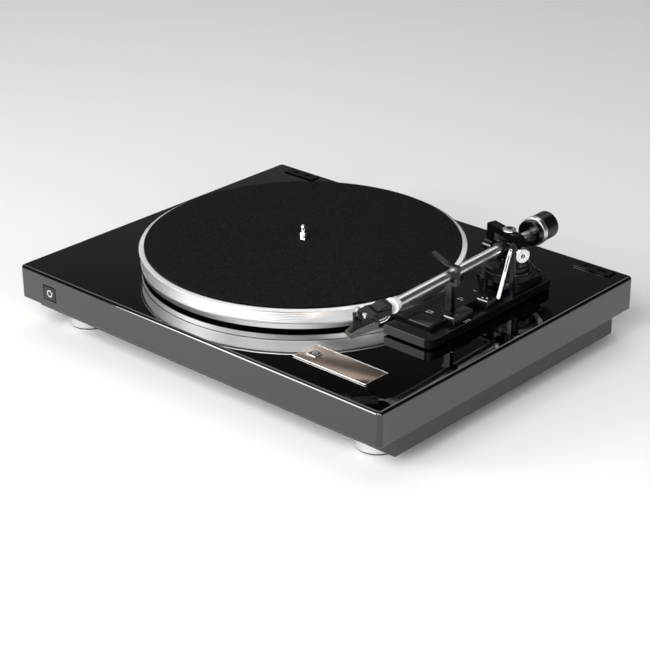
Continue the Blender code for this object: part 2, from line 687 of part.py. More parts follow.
def make_lift(paint, house):
    """Cueing lift: platform under the tube, with the slotted lever that works it."""
    base = DECK_TOP + HOUSE_TOP
    top = ARM_Z - TUBE_R - LIFT_TRAVEL - RUN_GAP
    join_mesh(house, rod_mesh("sleeve", 4 * MM, (LIFT_X, LIFT_Y, base - MM),
                              (LIFT_X, LIFT_Y, base + 8 * MM), 24))
    bore = 1.8 * MM
    cut_rod(house, bore + RUN_GAP, (LIFT_X, LIFT_Y, base + MM), (LIFT_X, LIFT_Y, base + 20 * MM), 24)
    bar = block("lift_platform", (LIFT_X - 4 * MM, LIFT_Y - 3 * MM, top - 2 * MM),
                (LIFT_X + 12 * MM, LIFT_Y + 3 * MM, top), paint["rubber"])
    join_mesh(bar, rod_mesh("stem", bore, (LIFT_X, LIFT_Y, base + 2 * MM),
                            (LIFT_X, LIFT_Y, top - MM), 20))
    pivot = Vector(LEVER_PIVOT)
    along = Vector(LEVER_END) - pivot
    across = Vector((along.y, -along.x, 0)).normalized()
    face = across.cross(along).normalized()
    turn = Matrix((across, along.normalized(), face)).transposed()
    pin = empty("cue_pin", pivot, turn.to_euler())
    length = along.length
    half = 1.5 * MM
    thick = 0.9 * MM
    outline = arc(0, 0, half, 180, 360, 6) + arc(0, length - half, half, 0, 180, 6)
    slot = arc(0, 5 * MM, 0.5 * MM, 180, 360, 4) + arc(0, 0.45 * length, 0.5 * MM, 0, 180, 4)
    lever = outline_plate("cue_lever", outline, -thick, thick, paint["chrome"], holes=(slot,),
                          parent=pin)
    cut_rod(lever, 0.9 * MM, (0, 0, -2 * thick), (0, 0, 2 * thick), 16, parent=pin)
    ledge = DECK_TOP + HOUSE_LEDGE - MM
    join_mesh(house, box_mesh("bracket", (pivot.x - 2 * MM, pivot.y + 2.5 * MM, ledge),
                              (pivot.x + 2 * MM, pivot.y + 6 * MM, pivot.z + 2 * MM)))


# ---------------------------------------------------------------- tone arm
def make_arm_base(paint):
    low = DECK_TOP + HOUSE_LEDGE + GAP
    left = HOUSE_LEFT + 1.5 * MM
    right = HOUSE_RIGHT - 3 * MM
    front = PLATEAU_REAR + GAP
    rear = PIVOT_Y + 26 * MM
    outline = rounded_rectangle(left, front, right, rear, 8 * MM)
    pedestal = outline_plate("arm_pedestal", outline, low, PEDESTAL_TOP, paint["satin"])
    round_edges(pedestal, 0.8 * MM, angle=60)
    centre = (PIVOT_X, PIVOT_Y, 0)
    tower_r = TOWER_R
    tower_top = TRUNNION_Z - 6 * MM
    bore = YOKE_SHAFT_R + RUN_GAP
    bore_low = PEDESTAL_TOP + 1.5 * MM
    foot = PEDESTAL_TOP + GAP
    dish_low = RING_TOP + RUN_GAP
    dish_top = dish_low + DISH_H
    tower = ((0, bore_low), (bore, bore_low), (bore, tower_top), (tower_r - MM, tower_top),
             (tower_r, tower_top - MM), (tower_r, dish_top + 1.5 * MM), (DISH_R - MM, dish_top),
             (DISH_R, dish_top - MM), (DISH_R, dish_low), (tower_r, dish_low), (tower_r, foot),
             (0, foot))
    turned("arm_tower", tower, paint["satin"], steps=40, location=centre)
    inner = tower_r + RUN_GAP
    chamfer = 0.8 * MM
    ring = ((inner, RING_TOP), (RING_R - chamfer, RING_TOP), (RING_R, RING_TOP - chamfer),
            (RING_R, RING_BOTTOM + chamfer), (RING_R - chamfer, RING_BOTTOM),
            (inner, RING_BOTTOM))
    turned("anti_skate_ring", ring, paint["satin"], steps=60, closed=True, location=centre)


def make_yoke(paint):
    """C-shaped frame that turns on the tower and carries the trunnion bearings."""
    pivot = (PIVOT_X, PIVOT_Y, TRUNNION_Z)
    yoke = empty("yoke_pin", pivot, (0, 0, YOKE_YAW))
    inner_top = BOW_TOP - BOW_T
    leg = BOW_LEFT + BOW_T
    bow = ((BOW_LEFT, YOKE_LOW), (-4 * MM, YOKE_LOW), (-4 * MM, YOKE_FLOOR), (leg, YOKE_FLOOR),
           (leg, inner_top), (13 * MM, inner_top), (18.5 * MM, inner_top - 3.2 * MM),
           (23.5 * MM, inner_top - 0.6 * MM), (14 * MM, BOW_TOP), (BOW_LEFT + MM, BOW_TOP),
           (BOW_LEFT, BOW_TOP - MM))
    frame = outline_plate("gimbal_frame", bow, -BOW_DEPTH / 2, BOW_DEPTH / 2, paint["satin"],
                          rotation=(pi / 2, 0, BOW_YAW), parent=yoke)
    joined = (
        rod_mesh("hub", 9 * MM, (0, 0, YOKE_LOW), (0, 0, YOKE_FLOOR)),
        rod_mesh("shaft", YOKE_SHAFT_R, (0, 0, -14.5 * MM), (0, 0, YOKE_FLOOR - MM), 24),
        box_mesh("left_arm", (-21 * MM, -3.5 * MM, YOKE_LOW), (-17.5 * MM, 3.5 * MM, 4 * MM)),
        rod_mesh("barrel", 5 * MM, (-26.5 * MM, 0, 0), (-17.2 * MM, 0, 0), 28),
        box_mesh("right_link", (4 * MM, -3 * MM, YOKE_LOW), (12 * MM, 3 * MM, YOKE_FLOOR)),
        box_mesh("right_arm", (9.6 * MM, -3 * MM, YOKE_LOW + 0.2 * MM), (12 * MM, 3 * MM, 4.5 * MM)),
    )
    for mesh in joined:
        join_mesh(frame, mesh, parent=yoke)
    hole = PIN_R + 0.4 * MM
    cut_rod(frame, hole, (-24.5 * MM, 0, 0), (-10 * MM, 0, 0), 20, parent=yoke)
    cut_rod(frame, hole, (8 * MM, 0, 0), (14 * MM, 0, 0), 20, parent=yoke)
    nut_low = BOW_TOP + GAP
    nut = ((0, nut_low + 2.6 * MM), (2.4 * MM, nut_low + 2.6 * MM), (2.8 * MM, nut_low + 2 * MM),
           (5.2 * MM, nut_low + 2 * MM), (6 * MM, nut_low + 1.2 * MM), (6 * MM, nut_low),
           (0, nut_low))
    turned("bearing_nut", nut, paint["steel"], steps=28, parent=yoke)


def make_dial(paint):
    """Tracking force dial: a drum whose axis leans to the front, origin on its axis."""
    dial = ((0, 0), (DIAL_R - 0.8 * MM, 0), (DIAL_R, -0.8 * MM), (DIAL_R, -DIAL_T),
            (1.8 * MM, -DIAL_T), (1.8 * MM, -DIAL_T - 1.2 * MM), (0, -DIAL_T - 1.2 * MM))
    facing = Matrix.Rotation(DIAL_YAW, 3, "Z") @ Matrix.Rotation(pi / 2, 3, "Y")
    turned("force_dial", dial, paint["steel"], steps=36, location=DIAL_SPOT,
           rotation=facing.to_euler())


def make_arm(paint):
    """Everything that tilts on the trunnion pins; -Y runs to the head end."""
    arm = empty("arm_pin", (PIVOT_X, PIVOT_Y, TRUNNION_Z), (0, 0, ARM_YAW))
    sleeve_r = TUBE_R + 1.8 * MM
    body = block("arm_block", (-7 * MM, -9 * MM, -2.6 * MM), (7 * MM, BLOCK_REAR, 12.5 * MM),
                 paint["satin"], parent=arm)
    round_edges(body, 0.7 * MM)
    join_mesh(body, rod_mesh("sleeve", sleeve_r, (0, -TUBE_REAR, TUBE_H), (0, -4 * MM, TUBE_H)),
              parent=arm)
    lean = YOKE_YAW - ARM_YAW
    for x0, x1 in ((-22.5 * MM, -6 * MM), (6 * MM, 11.7 * MM)):
        join_mesh(body, rod_mesh("pin", PIN_R, (x0, 0, 0), (x1, 0, 0), 20),
                  rotation=(0, 0, lean), parent=arm)
    tube_back = -TUBE_REAR - GAP
    turned("arm_tube", tube_profile(TUBE_FRONT + tube_back), paint["tube"], steps=32, closed=True,
           location=(0, tube_back, TUBE_H), rotation=(-pi / 2, 0, 0), parent=arm)
    collar_l = 6 * MM
    neck = TUBE_R + 0.45 * MM
    mouth = TUBE_R + 2.45 * MM
    flare = ((0, 0), (neck, 0), (neck + 0.4 * MM, -0.5 * MM),
             (mouth - 0.6 * MM, -collar_l + 2.6 * MM), (mouth, -collar_l + 0.4 * MM),
             (mouth - 0.4 * MM, -collar_l), (0, -collar_l))
    turned("head_collar", flare, paint["tube"], steps=32,
           location=(0, -TUBE_FRONT - GAP, TUBE_H), rotation=(-pi / 2, 0, 0), parent=arm)
    rod("rear_shaft", WEIGHT_SHAFT_R, (0, BLOCK_REAR + GAP, TUBE_H),
        (0, BLOCK_REAR + SHAFT_LENGTH - 5 * MM, TUBE_H), paint["chrome"], sides=28, parent=arm)
    make_weight(paint, arm)
    make_head(paint, arm, -TUBE_FRONT - 2 * GAP - collar_l)


def tube_profile(length):
    return ((TUBE_BORE_R, 0), (TUBE_R, 0), (TUBE_R, -length), (TUBE_BORE_R, -length))


def make_weight(paint, arm):
    """Counterweight in two drums with a bright scale ring let in between them."""
    bore = WEIGHT_SHAFT_R + GAP
    front_r = WEIGHT_R - 1.3 * MM
    rear_r = WEIGHT_R - 0.7 * MM
    core = 9.5 * MM
    start, end = SCALE_RING
    edge = 1.2 * MM
    profile = ((bore, WEIGHT_REAR), (rear_r - edge, WEIGHT_REAR), (rear_r, WEIGHT_REAR - edge),
               (rear_r, end + GAP), (core, end + GAP), (core, start - GAP), (front_r, start - GAP),
               (front_r, WEIGHT_FRONT + edge), (front_r - edge, WEIGHT_FRONT), (bore, WEIGHT_FRONT))
    place = {"location": (0, 0, TUBE_H), "rotation": (-pi / 2, 0, 0), "parent": arm}
    turned("counterweight", profile, paint["satin"], steps=40, closed=True, **place)
    inner = core + GAP
    ring = ((inner, end), (WEIGHT_R - 0.3 * MM, end), (WEIGHT_R, end - 0.3 * MM),
            (WEIGHT_R, start + 0.3 * MM), (WEIGHT_R - 0.3 * MM, start), (inner, start))
    turned("scale_ring", ring, paint["tube"], steps=40, closed=True, **place)


def make_head(paint, arm, front):
    """Headshell, cartridge, stylus and guard; the shell turns in toward the spindle."""
    head = empty("head_pin", (0, front, 0), (0, 0, HEAD_YAW), parent=arm)
    back = SHELL_REAR
    plan = ((-7 * MM, back), (-SHELL_HALF, -14 * MM), (-SHELL_HALF, -29 * MM), (-7.5 * MM, -33 * MM),
            (-3 * MM, SHELL_FRONT), (3 * MM, -34 * MM), (6.5 * MM, -31.5 * MM), (8 * MM, -27 * MM),
            (8 * MM, -14 * MM), (7 * MM, back))
    shell = outline_plate("headshell", plan, PLATE_LOW, PLATE_TOP, paint["satin"], parent=head)
    wedge = box_mesh("wedge", (-6.6 * MM, -16 * MM, 2.2 * MM), (6.6 * MM, back - 0.1 * MM, 12 * MM))
    join_mesh(shell, wedge, parent=head)
    join_mesh(shell, box_mesh("finger_lift", (6 * MM, FINGER_Y[0], PLATE_LOW + 0.4 * MM),
                              (FINGER_TIP, FINGER_Y[1], PLATE_LOW + 1.8 * MM)), parent=head)
    slope = box_mesh("slope", (-12 * MM, -30 * MM, 0), (12 * MM, 6 * MM, 20 * MM))
    combine(shell, cutter("headshell_slope", slope, location=(0, -7 * MM, 12.2 * MM),
                          rotation=(radians(22), 0, 0), parent=head))
    middle = CARTRIDGE_X
    for side in (-1, 1):
        x = middle + side * SCREW_SPAN / 2
        cut_rod(shell, SCREW_HOLE_R, (x, SCREW_Y, 0), (x, SCREW_Y, 12 * MM), 16, parent=head)
        low = PLATE_LOW - 3 * MM
        top = PLATE_TOP + GAP
        screw = ((0, top + 1.6 * MM), (1.7 * MM, top + 1.6 * MM), (2.2 * MM, top + MM),
                 (2.2 * MM, top), (1.1 * MM, top), (1.1 * MM, low), (0, low))
        turned(f"cartridge_screw_{'left' if side < 0 else 'right'}", screw, paint["chrome"],
               steps=20, location=(x, SCREW_Y, 0), parent=head)
    cart_top = PLATE_LOW - GAP
    width = CARTRIDGE_HALF
    cart = block("cartridge", (middle - CARTRIDGE_FLANGE, -31 * MM, 0.4 * MM),
                 (middle + CARTRIDGE_FLANGE, -20 * MM, cart_top), paint["satin"], parent=head)
    join_mesh(cart, box_mesh("body", (middle - width, CARTRIDGE_Y[0], CARTRIDGE_LOW),
                             (middle + width, CARTRIDGE_Y[1], 2 * MM)), parent=head)
    for side in (-1, 1):
        x = middle + side * SCREW_SPAN / 2
        cut_rod(cart, SCREW_HOLE_R, (x, SCREW_Y, -2 * MM), (x, SCREW_Y, 6 * MM), 16, parent=head)
    stylus = block("stylus_assembly", (middle - 2.6 * MM, -36 * MM, -11.2 * MM),
                   (middle + 2.6 * MM, -20 * MM, CARTRIDGE_LOW - GAP), paint["rubber"], parent=head)
    join_mesh(stylus, rod_mesh("cantilever", 0.4 * MM, (middle, -28 * MM, -10.5 * MM),
                               (middle, -36.5 * MM, -13.3 * MM), 12), parent=head)
    join_mesh(stylus, rod_mesh("tip", 0.35 * MM, (middle, -36.2 * MM, -13 * MM),
                               (middle, -36.2 * MM, -14.4 * MM), 12), parent=head)
    wall = GUARD_WALL
    inner = width + RUN_GAP
    side_view = ((-14 * MM, -0.8 * MM), (-14 * MM, CARTRIDGE_LOW), (-36 * MM, -12.6 * MM),
                 (GUARD_FRONT, -12 * MM), (GUARD_FRONT, -9 * MM), (-30 * MM, -4.6 * MM))
    guard = outline_plate("stylus_guard", side_view, -inner - wall, inner + wall, paint["smoke"],
                          location=(middle, 0, 0), rotation=(pi / 2, 0, pi / 2), parent=head)
    cut_block(guard, (middle - inner, GUARD_FRONT + wall, -20 * MM), (middle + inner, 0, 10 * MM),
              parent=head)


# ---------------------------------------------------------------- trim, sockets and board
def make_trim(paint):
    low = DECK_TOP + GAP
    for name, x0, x1 in (("hinge_plate_left", *HINGE_LEFT_X), ("hinge_plate_right", *HINGE_RIGHT_X)):
        plate = block(name, (x0, HINGE_Y[0], low), (x1, HINGE_Y[1], low + HINGE_T), paint["chrome"])
        round_edges(plate, 0.3 * MM, segments=1)
        for share in (0.3, 0.7):
            x = x0 + share * (x1 - x0)
            cut_block(plate, (x - HINGE_SLOT[0] / 2, HINGE_Y[0] + 4.5 * MM, low - MM),
                      (x + HINGE_SLOT[0] / 2, HINGE_Y[0] + 4.5 * MM + HINGE_SLOT[1], low + 3 * MM))
    front = -PLINTH_D / 2
    low_corner = (BADGE_X[0], front, BADGE_Z[0])
    high_corner = (BADGE_X[1], front + BADGE_T, BADGE_Z[1])
    block("front_badge", low_corner, high_corner, paint["badge"], edge=0.2 * MM)
    plate_top = low + NAME_PLATE_T
    block("name_plate", (NAME_PLATE_X[0], NAME_PLATE_Y[0], low),
          (NAME_PLATE_X[1], NAME_PLATE_Y[1], plate_top), paint["bronze"], edge=0.3 * MM)
    corner = (NAME_PLATE_X[0] + 7 * MM, NAME_PLATE_Y[0] + 9 * MM, plate_top + GAP)
    block("name_badge", corner, (corner[0] + NAME_BADGE_W, corner[1] + NAME_BADGE_W,
                                 corner[2] + NAME_BADGE_T), paint["badge"], edge=0.15 * MM)


def make_electrics(paint):
    rear = PLINTH_D / 2 - TRAY_INSET_REAR
    middle = (SOCKET_Z0 + SOCKET_Z1) / 2
    for name, left, right, low, high in SOCKETS:
        panel = block(name, (left + GAP, rear - 9 * MM, low + GAP), (right - GAP, rear, high - GAP),
                      paint["satin"])
        if name == "power_inlet":
            cut_rod(panel, SOCKET_R, ((left + right) / 2, rear - 7 * MM, middle),
                    ((left + right) / 2, rear + MM, middle), 20)
        else:
            for x in (left + 7 * MM, right - 7 * MM):
                cut_rod(panel, SOCKET_R, (x, rear - 7 * MM, middle), (x, rear + MM, middle), 20)
                cut_rod(panel, 1 * MM, (x, rear - 10 * MM, middle), (x, rear + MM, middle), 12)
    rod("ground_terminal", TERMINAL_R, (TERMINAL_X, rear + GAP, middle),
        (TERMINAL_X, rear + 8 * MM, middle), paint["brass"], sides=24, edge=0.4 * MM)
    floor = TRAY_BOTTOM + TRAY_WALL + GAP
    block("circuit_board", (BOARD_X[0], BOARD_Y[0], floor), (BOARD_X[1], BOARD_Y[1], floor + BOARD_T),
          paint["green"])


def main():
    clear_scene()
    paint = make_paints()
    make_plinth(paint)
    make_tray(paint)
    make_feet(paint)
    make_platter(paint, make_bearing(paint))
    make_drive(paint)
    house = make_housing(paint)
    make_controls(paint)
    make_rest(paint)
    make_lift(paint, house)
    make_arm_base(paint)
    make_yoke(paint)
    make_dial(paint)
    make_arm(paint)
    make_trim(paint)
    make_electrics(paint)
    bpy.context.view_layer.update()


main()
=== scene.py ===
"""Looks of the record player: gloss plinth, turned platter, felt mat and tone arm."""
import json
from math import atan2, cos, pi, radians, sin

import bmesh
import bpy
from mathutils import Matrix, Vector


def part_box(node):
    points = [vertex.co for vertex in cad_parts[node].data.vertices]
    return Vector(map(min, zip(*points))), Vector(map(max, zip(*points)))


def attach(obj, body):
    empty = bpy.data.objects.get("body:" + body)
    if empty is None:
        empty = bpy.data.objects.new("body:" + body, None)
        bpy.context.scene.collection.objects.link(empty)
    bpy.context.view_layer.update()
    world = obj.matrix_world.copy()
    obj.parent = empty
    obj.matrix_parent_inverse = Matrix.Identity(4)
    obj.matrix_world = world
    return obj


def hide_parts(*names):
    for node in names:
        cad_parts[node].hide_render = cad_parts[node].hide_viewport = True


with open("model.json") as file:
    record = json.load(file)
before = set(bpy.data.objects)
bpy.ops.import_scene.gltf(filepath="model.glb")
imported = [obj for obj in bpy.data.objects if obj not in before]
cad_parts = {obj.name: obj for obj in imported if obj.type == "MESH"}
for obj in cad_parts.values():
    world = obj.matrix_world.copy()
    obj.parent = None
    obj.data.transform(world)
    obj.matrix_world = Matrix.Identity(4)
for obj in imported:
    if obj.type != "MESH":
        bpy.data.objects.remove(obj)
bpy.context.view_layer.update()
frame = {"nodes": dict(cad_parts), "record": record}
MM = 0.001
BASE = "plinth_body"
LABELS = "white"             # finish of every printed mark
ON_AXIS = 1e-7               # a smaller radius closes a turned shape on its axis

# Plinth: rounding of the deck's edge and corners, and the shell's turned-in lower edge.
PLINTH_EDGE = 3.2 * MM
PLINTH_CORNER = 4.5 * MM
PLINTH_LIP = 4 * MM
PLINTH_OPENING = 21 * MM

# Platter: the crown starts at a part of the radius, and the wall under it is grooved.
CROWN_START = 146.4 / 151
CENTRE_HOLE = 4.2 * MM
MAT_HOLE = 3.9 * MM
WALL_GROOVES = 7
WALL_THICK = 7 * MM

# Controls: heights are above the deck, spots are from the housing's right and front faces.
PANEL_HEIGHT = 14 * MM
LEDGE_HEIGHT = 9.8 * MM
PANEL_FROM_RIGHT = (39 * MM, 18.4 * MM)
PANEL_LINES = (("front", 35.3 * MM), ("middle", 70.5 * MM), ("rear", 106.5 * MM))
LINE_WIDTH = 0.3 * MM
LEVER_LEAN = 1.2 * MM
CLIP_INNER = 5.6 * MM
CLIP_OUTER = 6.7 * MM
CLIP_HALF_WIDTH = 2.2 * MM
CLIP_ARC = (-95, 27)

# Tone arm: places along the arm are measured from its pivot.
TUBE_R = 4.75 * MM
TUBE_BORE = 3.9 * MM
TUBE_START = 17.3 * MM
DIAL_R = 7.3 * MM
DIAL_THICK = 3.5 * MM
WEIGHT_BORE = 3.7 * MM
WEIGHT_FRONT = 31.2 * MM
WEIGHT_REAR = 60.5 * MM
SCALE_FRONT = 36.5 * MM
SCALE_REAR = 42 * MM
SCALE_R = 13.2 * MM


# ---------------------------------------------------------------- node tools
def link(tree, source, target):
    """Join an output to an input."""
    tree.links.new(source, target)


def feed(tree, socket, value):
    """Give an input its value, or link it to another node's output."""
    if isinstance(value, bpy.types.NodeSocket):
        link(tree, value, socket)
    else:
        socket.default_value = value


def node(tree, kind, **values):
    """A shader node; values are sockets by name, or the node's own settings."""
    made = tree.nodes.new(kind)
    for name, value in values.items():
        if hasattr(made, name) and name not in made.inputs:
            setattr(made, name, value)
        else:
            feed(tree, made.inputs[name], value)
    return made


def maths(tree, operation, a, b=0.0):
    """Add or multiply two values, or one value and a number."""
    made = tree.nodes.new("ShaderNodeMath")
    made.operation = operation
    for socket, value in zip(made.inputs, (a, b)):
        feed(tree, socket, value)
    return made.outputs[0]


def spread(tree, value, low, high, out_low=0.0, out_high=1.0):
    """Map a value's range onto another, clamped."""
    made = tree.nodes.new("ShaderNodeMapRange")
    link(tree, value, made.inputs["Value"])
    made.inputs["From Min"].default_value = low
    made.inputs["From Max"].default_value = high
    made.inputs["To Min"].default_value = out_low
    made.inputs["To Max"].default_value = out_high
    return made.outputs["Result"]


def mix_colour(tree, factor, first, second):
    """Blend two colours, given as (r, g, b), by a factor from 0 to 1."""
    made = tree.nodes.new("ShaderNodeMix")
    made.data_type = "RGBA"
    colours = [socket for socket in made.inputs if socket.type == "RGBA"]
    for socket, value in zip([made.inputs["Factor"], *colours], (factor, first, second)):
        feed(tree, socket, (*value, 1) if isinstance(value, tuple) else value)
    return [socket for socket in made.outputs if socket.type == "RGBA"][0]


def shared_effect(name, inputs, outputs):
    """An empty node group with named sockets; returns it with its input and output nodes."""
    group = bpy.data.node_groups.new(name, "ShaderNodeTree")
    for label, kind, value in inputs:
        socket = group.interface.new_socket(label, in_out="INPUT", socket_type=kind)
        if value is not None:
            socket.default_value = value
    for label, kind in outputs:
        group.interface.new_socket(label, in_out="OUTPUT", socket_type=kind)
    return group, group.nodes.new("NodeGroupInput"), group.nodes.new("NodeGroupOutput")


def effect(tree, group, **values):
    """Place a shared effect; an underscore in a name stands for a space."""
    placed = tree.nodes.new("ShaderNodeGroup")
    placed.node_tree = group
    for name, value in values.items():
        feed(tree, placed.inputs[name.replace("_", " ")], value)
    return placed


# ---------------------------------------------------------------- shared effects
def make_mottle():
    """Soft unevenness: a slow cloud and a fine grain, both from 0 to 1."""
    group, start, end = shared_effect(
        "Mottle", (("Vector", "NodeSocketVector", None), ("Cloud Size", "NodeSocketFloat", 12.0),
                   ("Grain Size", "NodeSocketFloat", 900.0)),
        (("Cloud", "NodeSocketFloat"), ("Grain", "NodeSocketFloat")))
    cloud = node(group, "ShaderNodeTexNoise", Vector=start.outputs["Vector"],
                 Scale=start.outputs["Cloud Size"], Detail=3.0, Roughness=0.55)
    grain = node(group, "ShaderNodeTexNoise", Vector=start.outputs["Vector"],
                 Scale=start.outputs["Grain Size"], Detail=2.0, Roughness=0.6)
    link(group, spread(group, cloud.outputs["Fac"], 0.3, 0.7), end.inputs["Cloud"])
    link(group, spread(group, grain.outputs["Fac"], 0.3, 0.7), end.inputs["Grain"])
    return group


def make_lathe_lines():
    """Fine rings that a lathe leaves, from the radius and height about local Z."""
    group, start, end = shared_effect(
        "Lathe lines", (("Vector", "NodeSocketVector", None), ("Pitch", "NodeSocketFloat", 1500.0)),
        (("Height", "NodeSocketFloat"), ("Bands", "NodeSocketFloat")))
    split = node(group, "ShaderNodeSeparateXYZ", Vector=start.outputs["Vector"])
    flat = node(group, "ShaderNodeCombineXYZ", X=split.outputs["X"], Y=split.outputs["Y"])
    radius = node(group, "ShaderNodeVectorMath", operation="LENGTH")
    link(group, flat.outputs[0], radius.inputs[0])
    along = node(group, "ShaderNodeCombineXYZ", X=radius.outputs["Value"], Y=split.outputs["Z"])
    fine = node(group, "ShaderNodeTexNoise", Vector=along.outputs[0],
                Scale=start.outputs["Pitch"], Detail=2.0, Roughness=0.7)
    wide = node(group, "ShaderNodeTexNoise", Vector=along.outputs[0],
                Scale=maths(group, "MULTIPLY", start.outputs["Pitch"], 0.12), Detail=1.0)
    link(group, fine.outputs["Fac"], end.inputs["Height"])
    link(group, spread(group, wide.outputs["Fac"], 0.35, 0.65), end.inputs["Bands"])
    return group


def make_draw_lines():
    """Fine lines along local Y, as on drawn tube."""
    group, start, end = shared_effect(
        "Draw lines", (("Vector", "NodeSocketVector", None), ("Pitch", "NodeSocketFloat", 1200.0)),
        (("Height", "NodeSocketFloat"),))
    squeeze = node(group, "ShaderNodeVectorMath", operation="MULTIPLY")
    link(group, start.outputs["Vector"], squeeze.inputs[0])
    squeeze.inputs[1].default_value = (1.0, 0.02, 1.0)
    lines = node(group, "ShaderNodeTexNoise", Vector=squeeze.outputs[0],
                 Scale=start.outputs["Pitch"], Detail=2.0)
    link(group, lines.outputs["Fac"], end.inputs["Height"])
    return group


MOTTLE = make_mottle()
LATHE = make_lathe_lines()
DRAWN = make_draw_lines()


def finish_tree(name):
    """A new material's tree with its shader, output and object coordinates."""
    made = bpy.data.materials.new(name)
    made.use_nodes = True
    tree = made.node_tree
    shader = tree.nodes["Principled BSDF"]
    place = tree.nodes.new("ShaderNodeTexCoord").outputs["Object"]
    return made, tree, shader, place


def constants(shader, **values):
    """Plain shader values; an underscore in a name stands for a space."""
    for name, value in values.items():
        shader.inputs[name.replace("_", " ")].default_value = value


def bump(tree, shader, height, distance, strength=1.0):
    """Raise the surface by a height from 0 to 1 times a distance in metres."""
    made = node(tree, "ShaderNodeBump", Height=height, Distance=distance, Strength=strength)
    link(tree, made.outputs["Normal"], shader.inputs["Normal"])


# ---------------------------------------------------------------- finishes
def moulding(name, colour, roughness, grain_size=2600.0, depth=0.02, lift=0.5, **extra):
    """Moulded plastic: faint cloud in the colour, grain in the surface."""
    made, tree, shader, place = finish_tree(name)
    mottle = effect(tree, MOTTLE, Vector=place, Cloud_Size=18.0, Grain_Size=grain_size)
    bright = tuple(min(1.0, c * (1 + lift)) for c in colour)
    tone = mix_colour(tree, mottle.outputs["Cloud"], colour, bright)
    link(tree, tone, shader.inputs["Base Color"])
    rough = spread(tree, mottle.outputs["Grain"], 0, 1, roughness * 0.88, roughness * 1.12)
    link(tree, rough, shader.inputs["Roughness"])
    bump(tree, shader, mottle.outputs["Grain"], depth * MM)
    constants(shader, **extra)
    return made


def turned_metal(name, colour, roughness, pitch=1500.0, depth=0.004, band=0.06, **extra):
    """Metal with lathe rings about its own axis, which spread light across themselves."""
    made, tree, shader, place = finish_tree(name)
    around = tree.nodes.new("ShaderNodeTangent")
    around.direction_type = "RADIAL"
    around.axis = "Z"
    link(tree, around.outputs["Tangent"], shader.inputs["Tangent"])
    lines = effect(tree, LATHE, Vector=place, Pitch=pitch)
    dull = tuple(c * (1 - band) for c in colour)
    tone = mix_colour(tree, lines.outputs["Bands"], dull, colour)
    link(tree, tone, shader.inputs["Base Color"])
    rough = spread(tree, lines.outputs["Bands"], 0, 1, roughness * 0.95, roughness * 1.05)
    link(tree, rough, shader.inputs["Roughness"])
    bump(tree, shader, lines.outputs["Height"], depth * MM)
    constants(shader, Metallic=1.0, **extra)
    return made


def plain_metal(name, colour, roughness, **extra):
    """Plated or polished metal with a faint haze that comes and goes."""
    made, tree, shader, place = finish_tree(name)
    mottle = effect(tree, MOTTLE, Vector=place, Cloud_Size=60.0, Grain_Size=1500.0)
    dull = tuple(c * 0.93 for c in colour)
    tone = mix_colour(tree, mottle.outputs["Cloud"], dull, colour)
    link(tree, tone, shader.inputs["Base Color"])
    rough = spread(tree, mottle.outputs["Cloud"], 0, 1, roughness * 0.8, roughness * 1.3)
    link(tree, rough, shader.inputs["Roughness"])
    bump(tree, shader, mottle.outputs["Grain"], 0.001 * MM)
    constants(shader, Metallic=1.0, **extra)
    return made


def drawn_metal(name, colour, roughness, pitch=900.0):
    """Satin metal with fine lines drawn along its length."""
    made, tree, shader, place = finish_tree(name)
    lines = effect(tree, DRAWN, Vector=place, Pitch=pitch)
    dull = tuple(c * 0.95 for c in colour)
    tone = mix_colour(tree, lines.outputs["Height"], dull, colour)
    link(tree, tone, shader.inputs["Base Color"])
    rough = spread(tree, lines.outputs["Height"], 0, 1, roughness * 0.9, roughness * 1.1)
    link(tree, rough, shader.inputs["Roughness"])
    bump(tree, shader, lines.outputs["Height"], 0.0008 * MM)
    constants(shader, Metallic=1.0)
    return made


def lacquer(name, colour, **extra):
    """Piano lacquer: deep gloss with the slightest orange peel."""
    made, tree, shader, place = finish_tree(name)
    mottle = effect(tree, MOTTLE, Vector=place, Cloud_Size=40.0, Grain_Size=160.0)
    bright = tuple(c * 1.3 for c in colour)
    tone = mix_colour(tree, mottle.outputs["Cloud"], colour, bright)
    link(tree, tone, shader.inputs["Base Color"])
    rough = spread(tree, mottle.outputs["Grain"], 0, 1, 0.012, 0.03)
    link(tree, rough, shader.inputs["Roughness"])
    bump(tree, shader, mottle.outputs["Grain"], 0.0006 * MM)
    constants(shader, **extra)
    return made


def felt(name, colour, pale):
    """Pressed felt: matted fibres with pale lint scattered through them."""
    made, tree, shader, place = finish_tree(name)
    mottle = effect(tree, MOTTLE, Vector=place, Cloud_Size=25.0, Grain_Size=1500.0)
    stretch = node(tree, "ShaderNodeTexNoise", Vector=place, Scale=420.0, Detail=4.0,
                   Roughness=0.8, Distortion=1.5)
    lint = spread(tree, stretch.outputs["Fac"], 0.5, 0.68)
    cloudy = mix_colour(tree, mottle.outputs["Cloud"], colour, tuple(c * 1.35 for c in colour))
    tone = mix_colour(tree, maths(tree, "MULTIPLY", lint, mottle.outputs["Grain"]), cloudy, pale)
    link(tree, tone, shader.inputs["Base Color"])
    height = maths(tree, "ADD", stretch.outputs["Fac"], mottle.outputs["Grain"])
    bump(tree, shader, height, 0.12 * MM, 0.8)
    constants(shader, Roughness=0.95, Specular_IOR_Level=0.12)
    return made


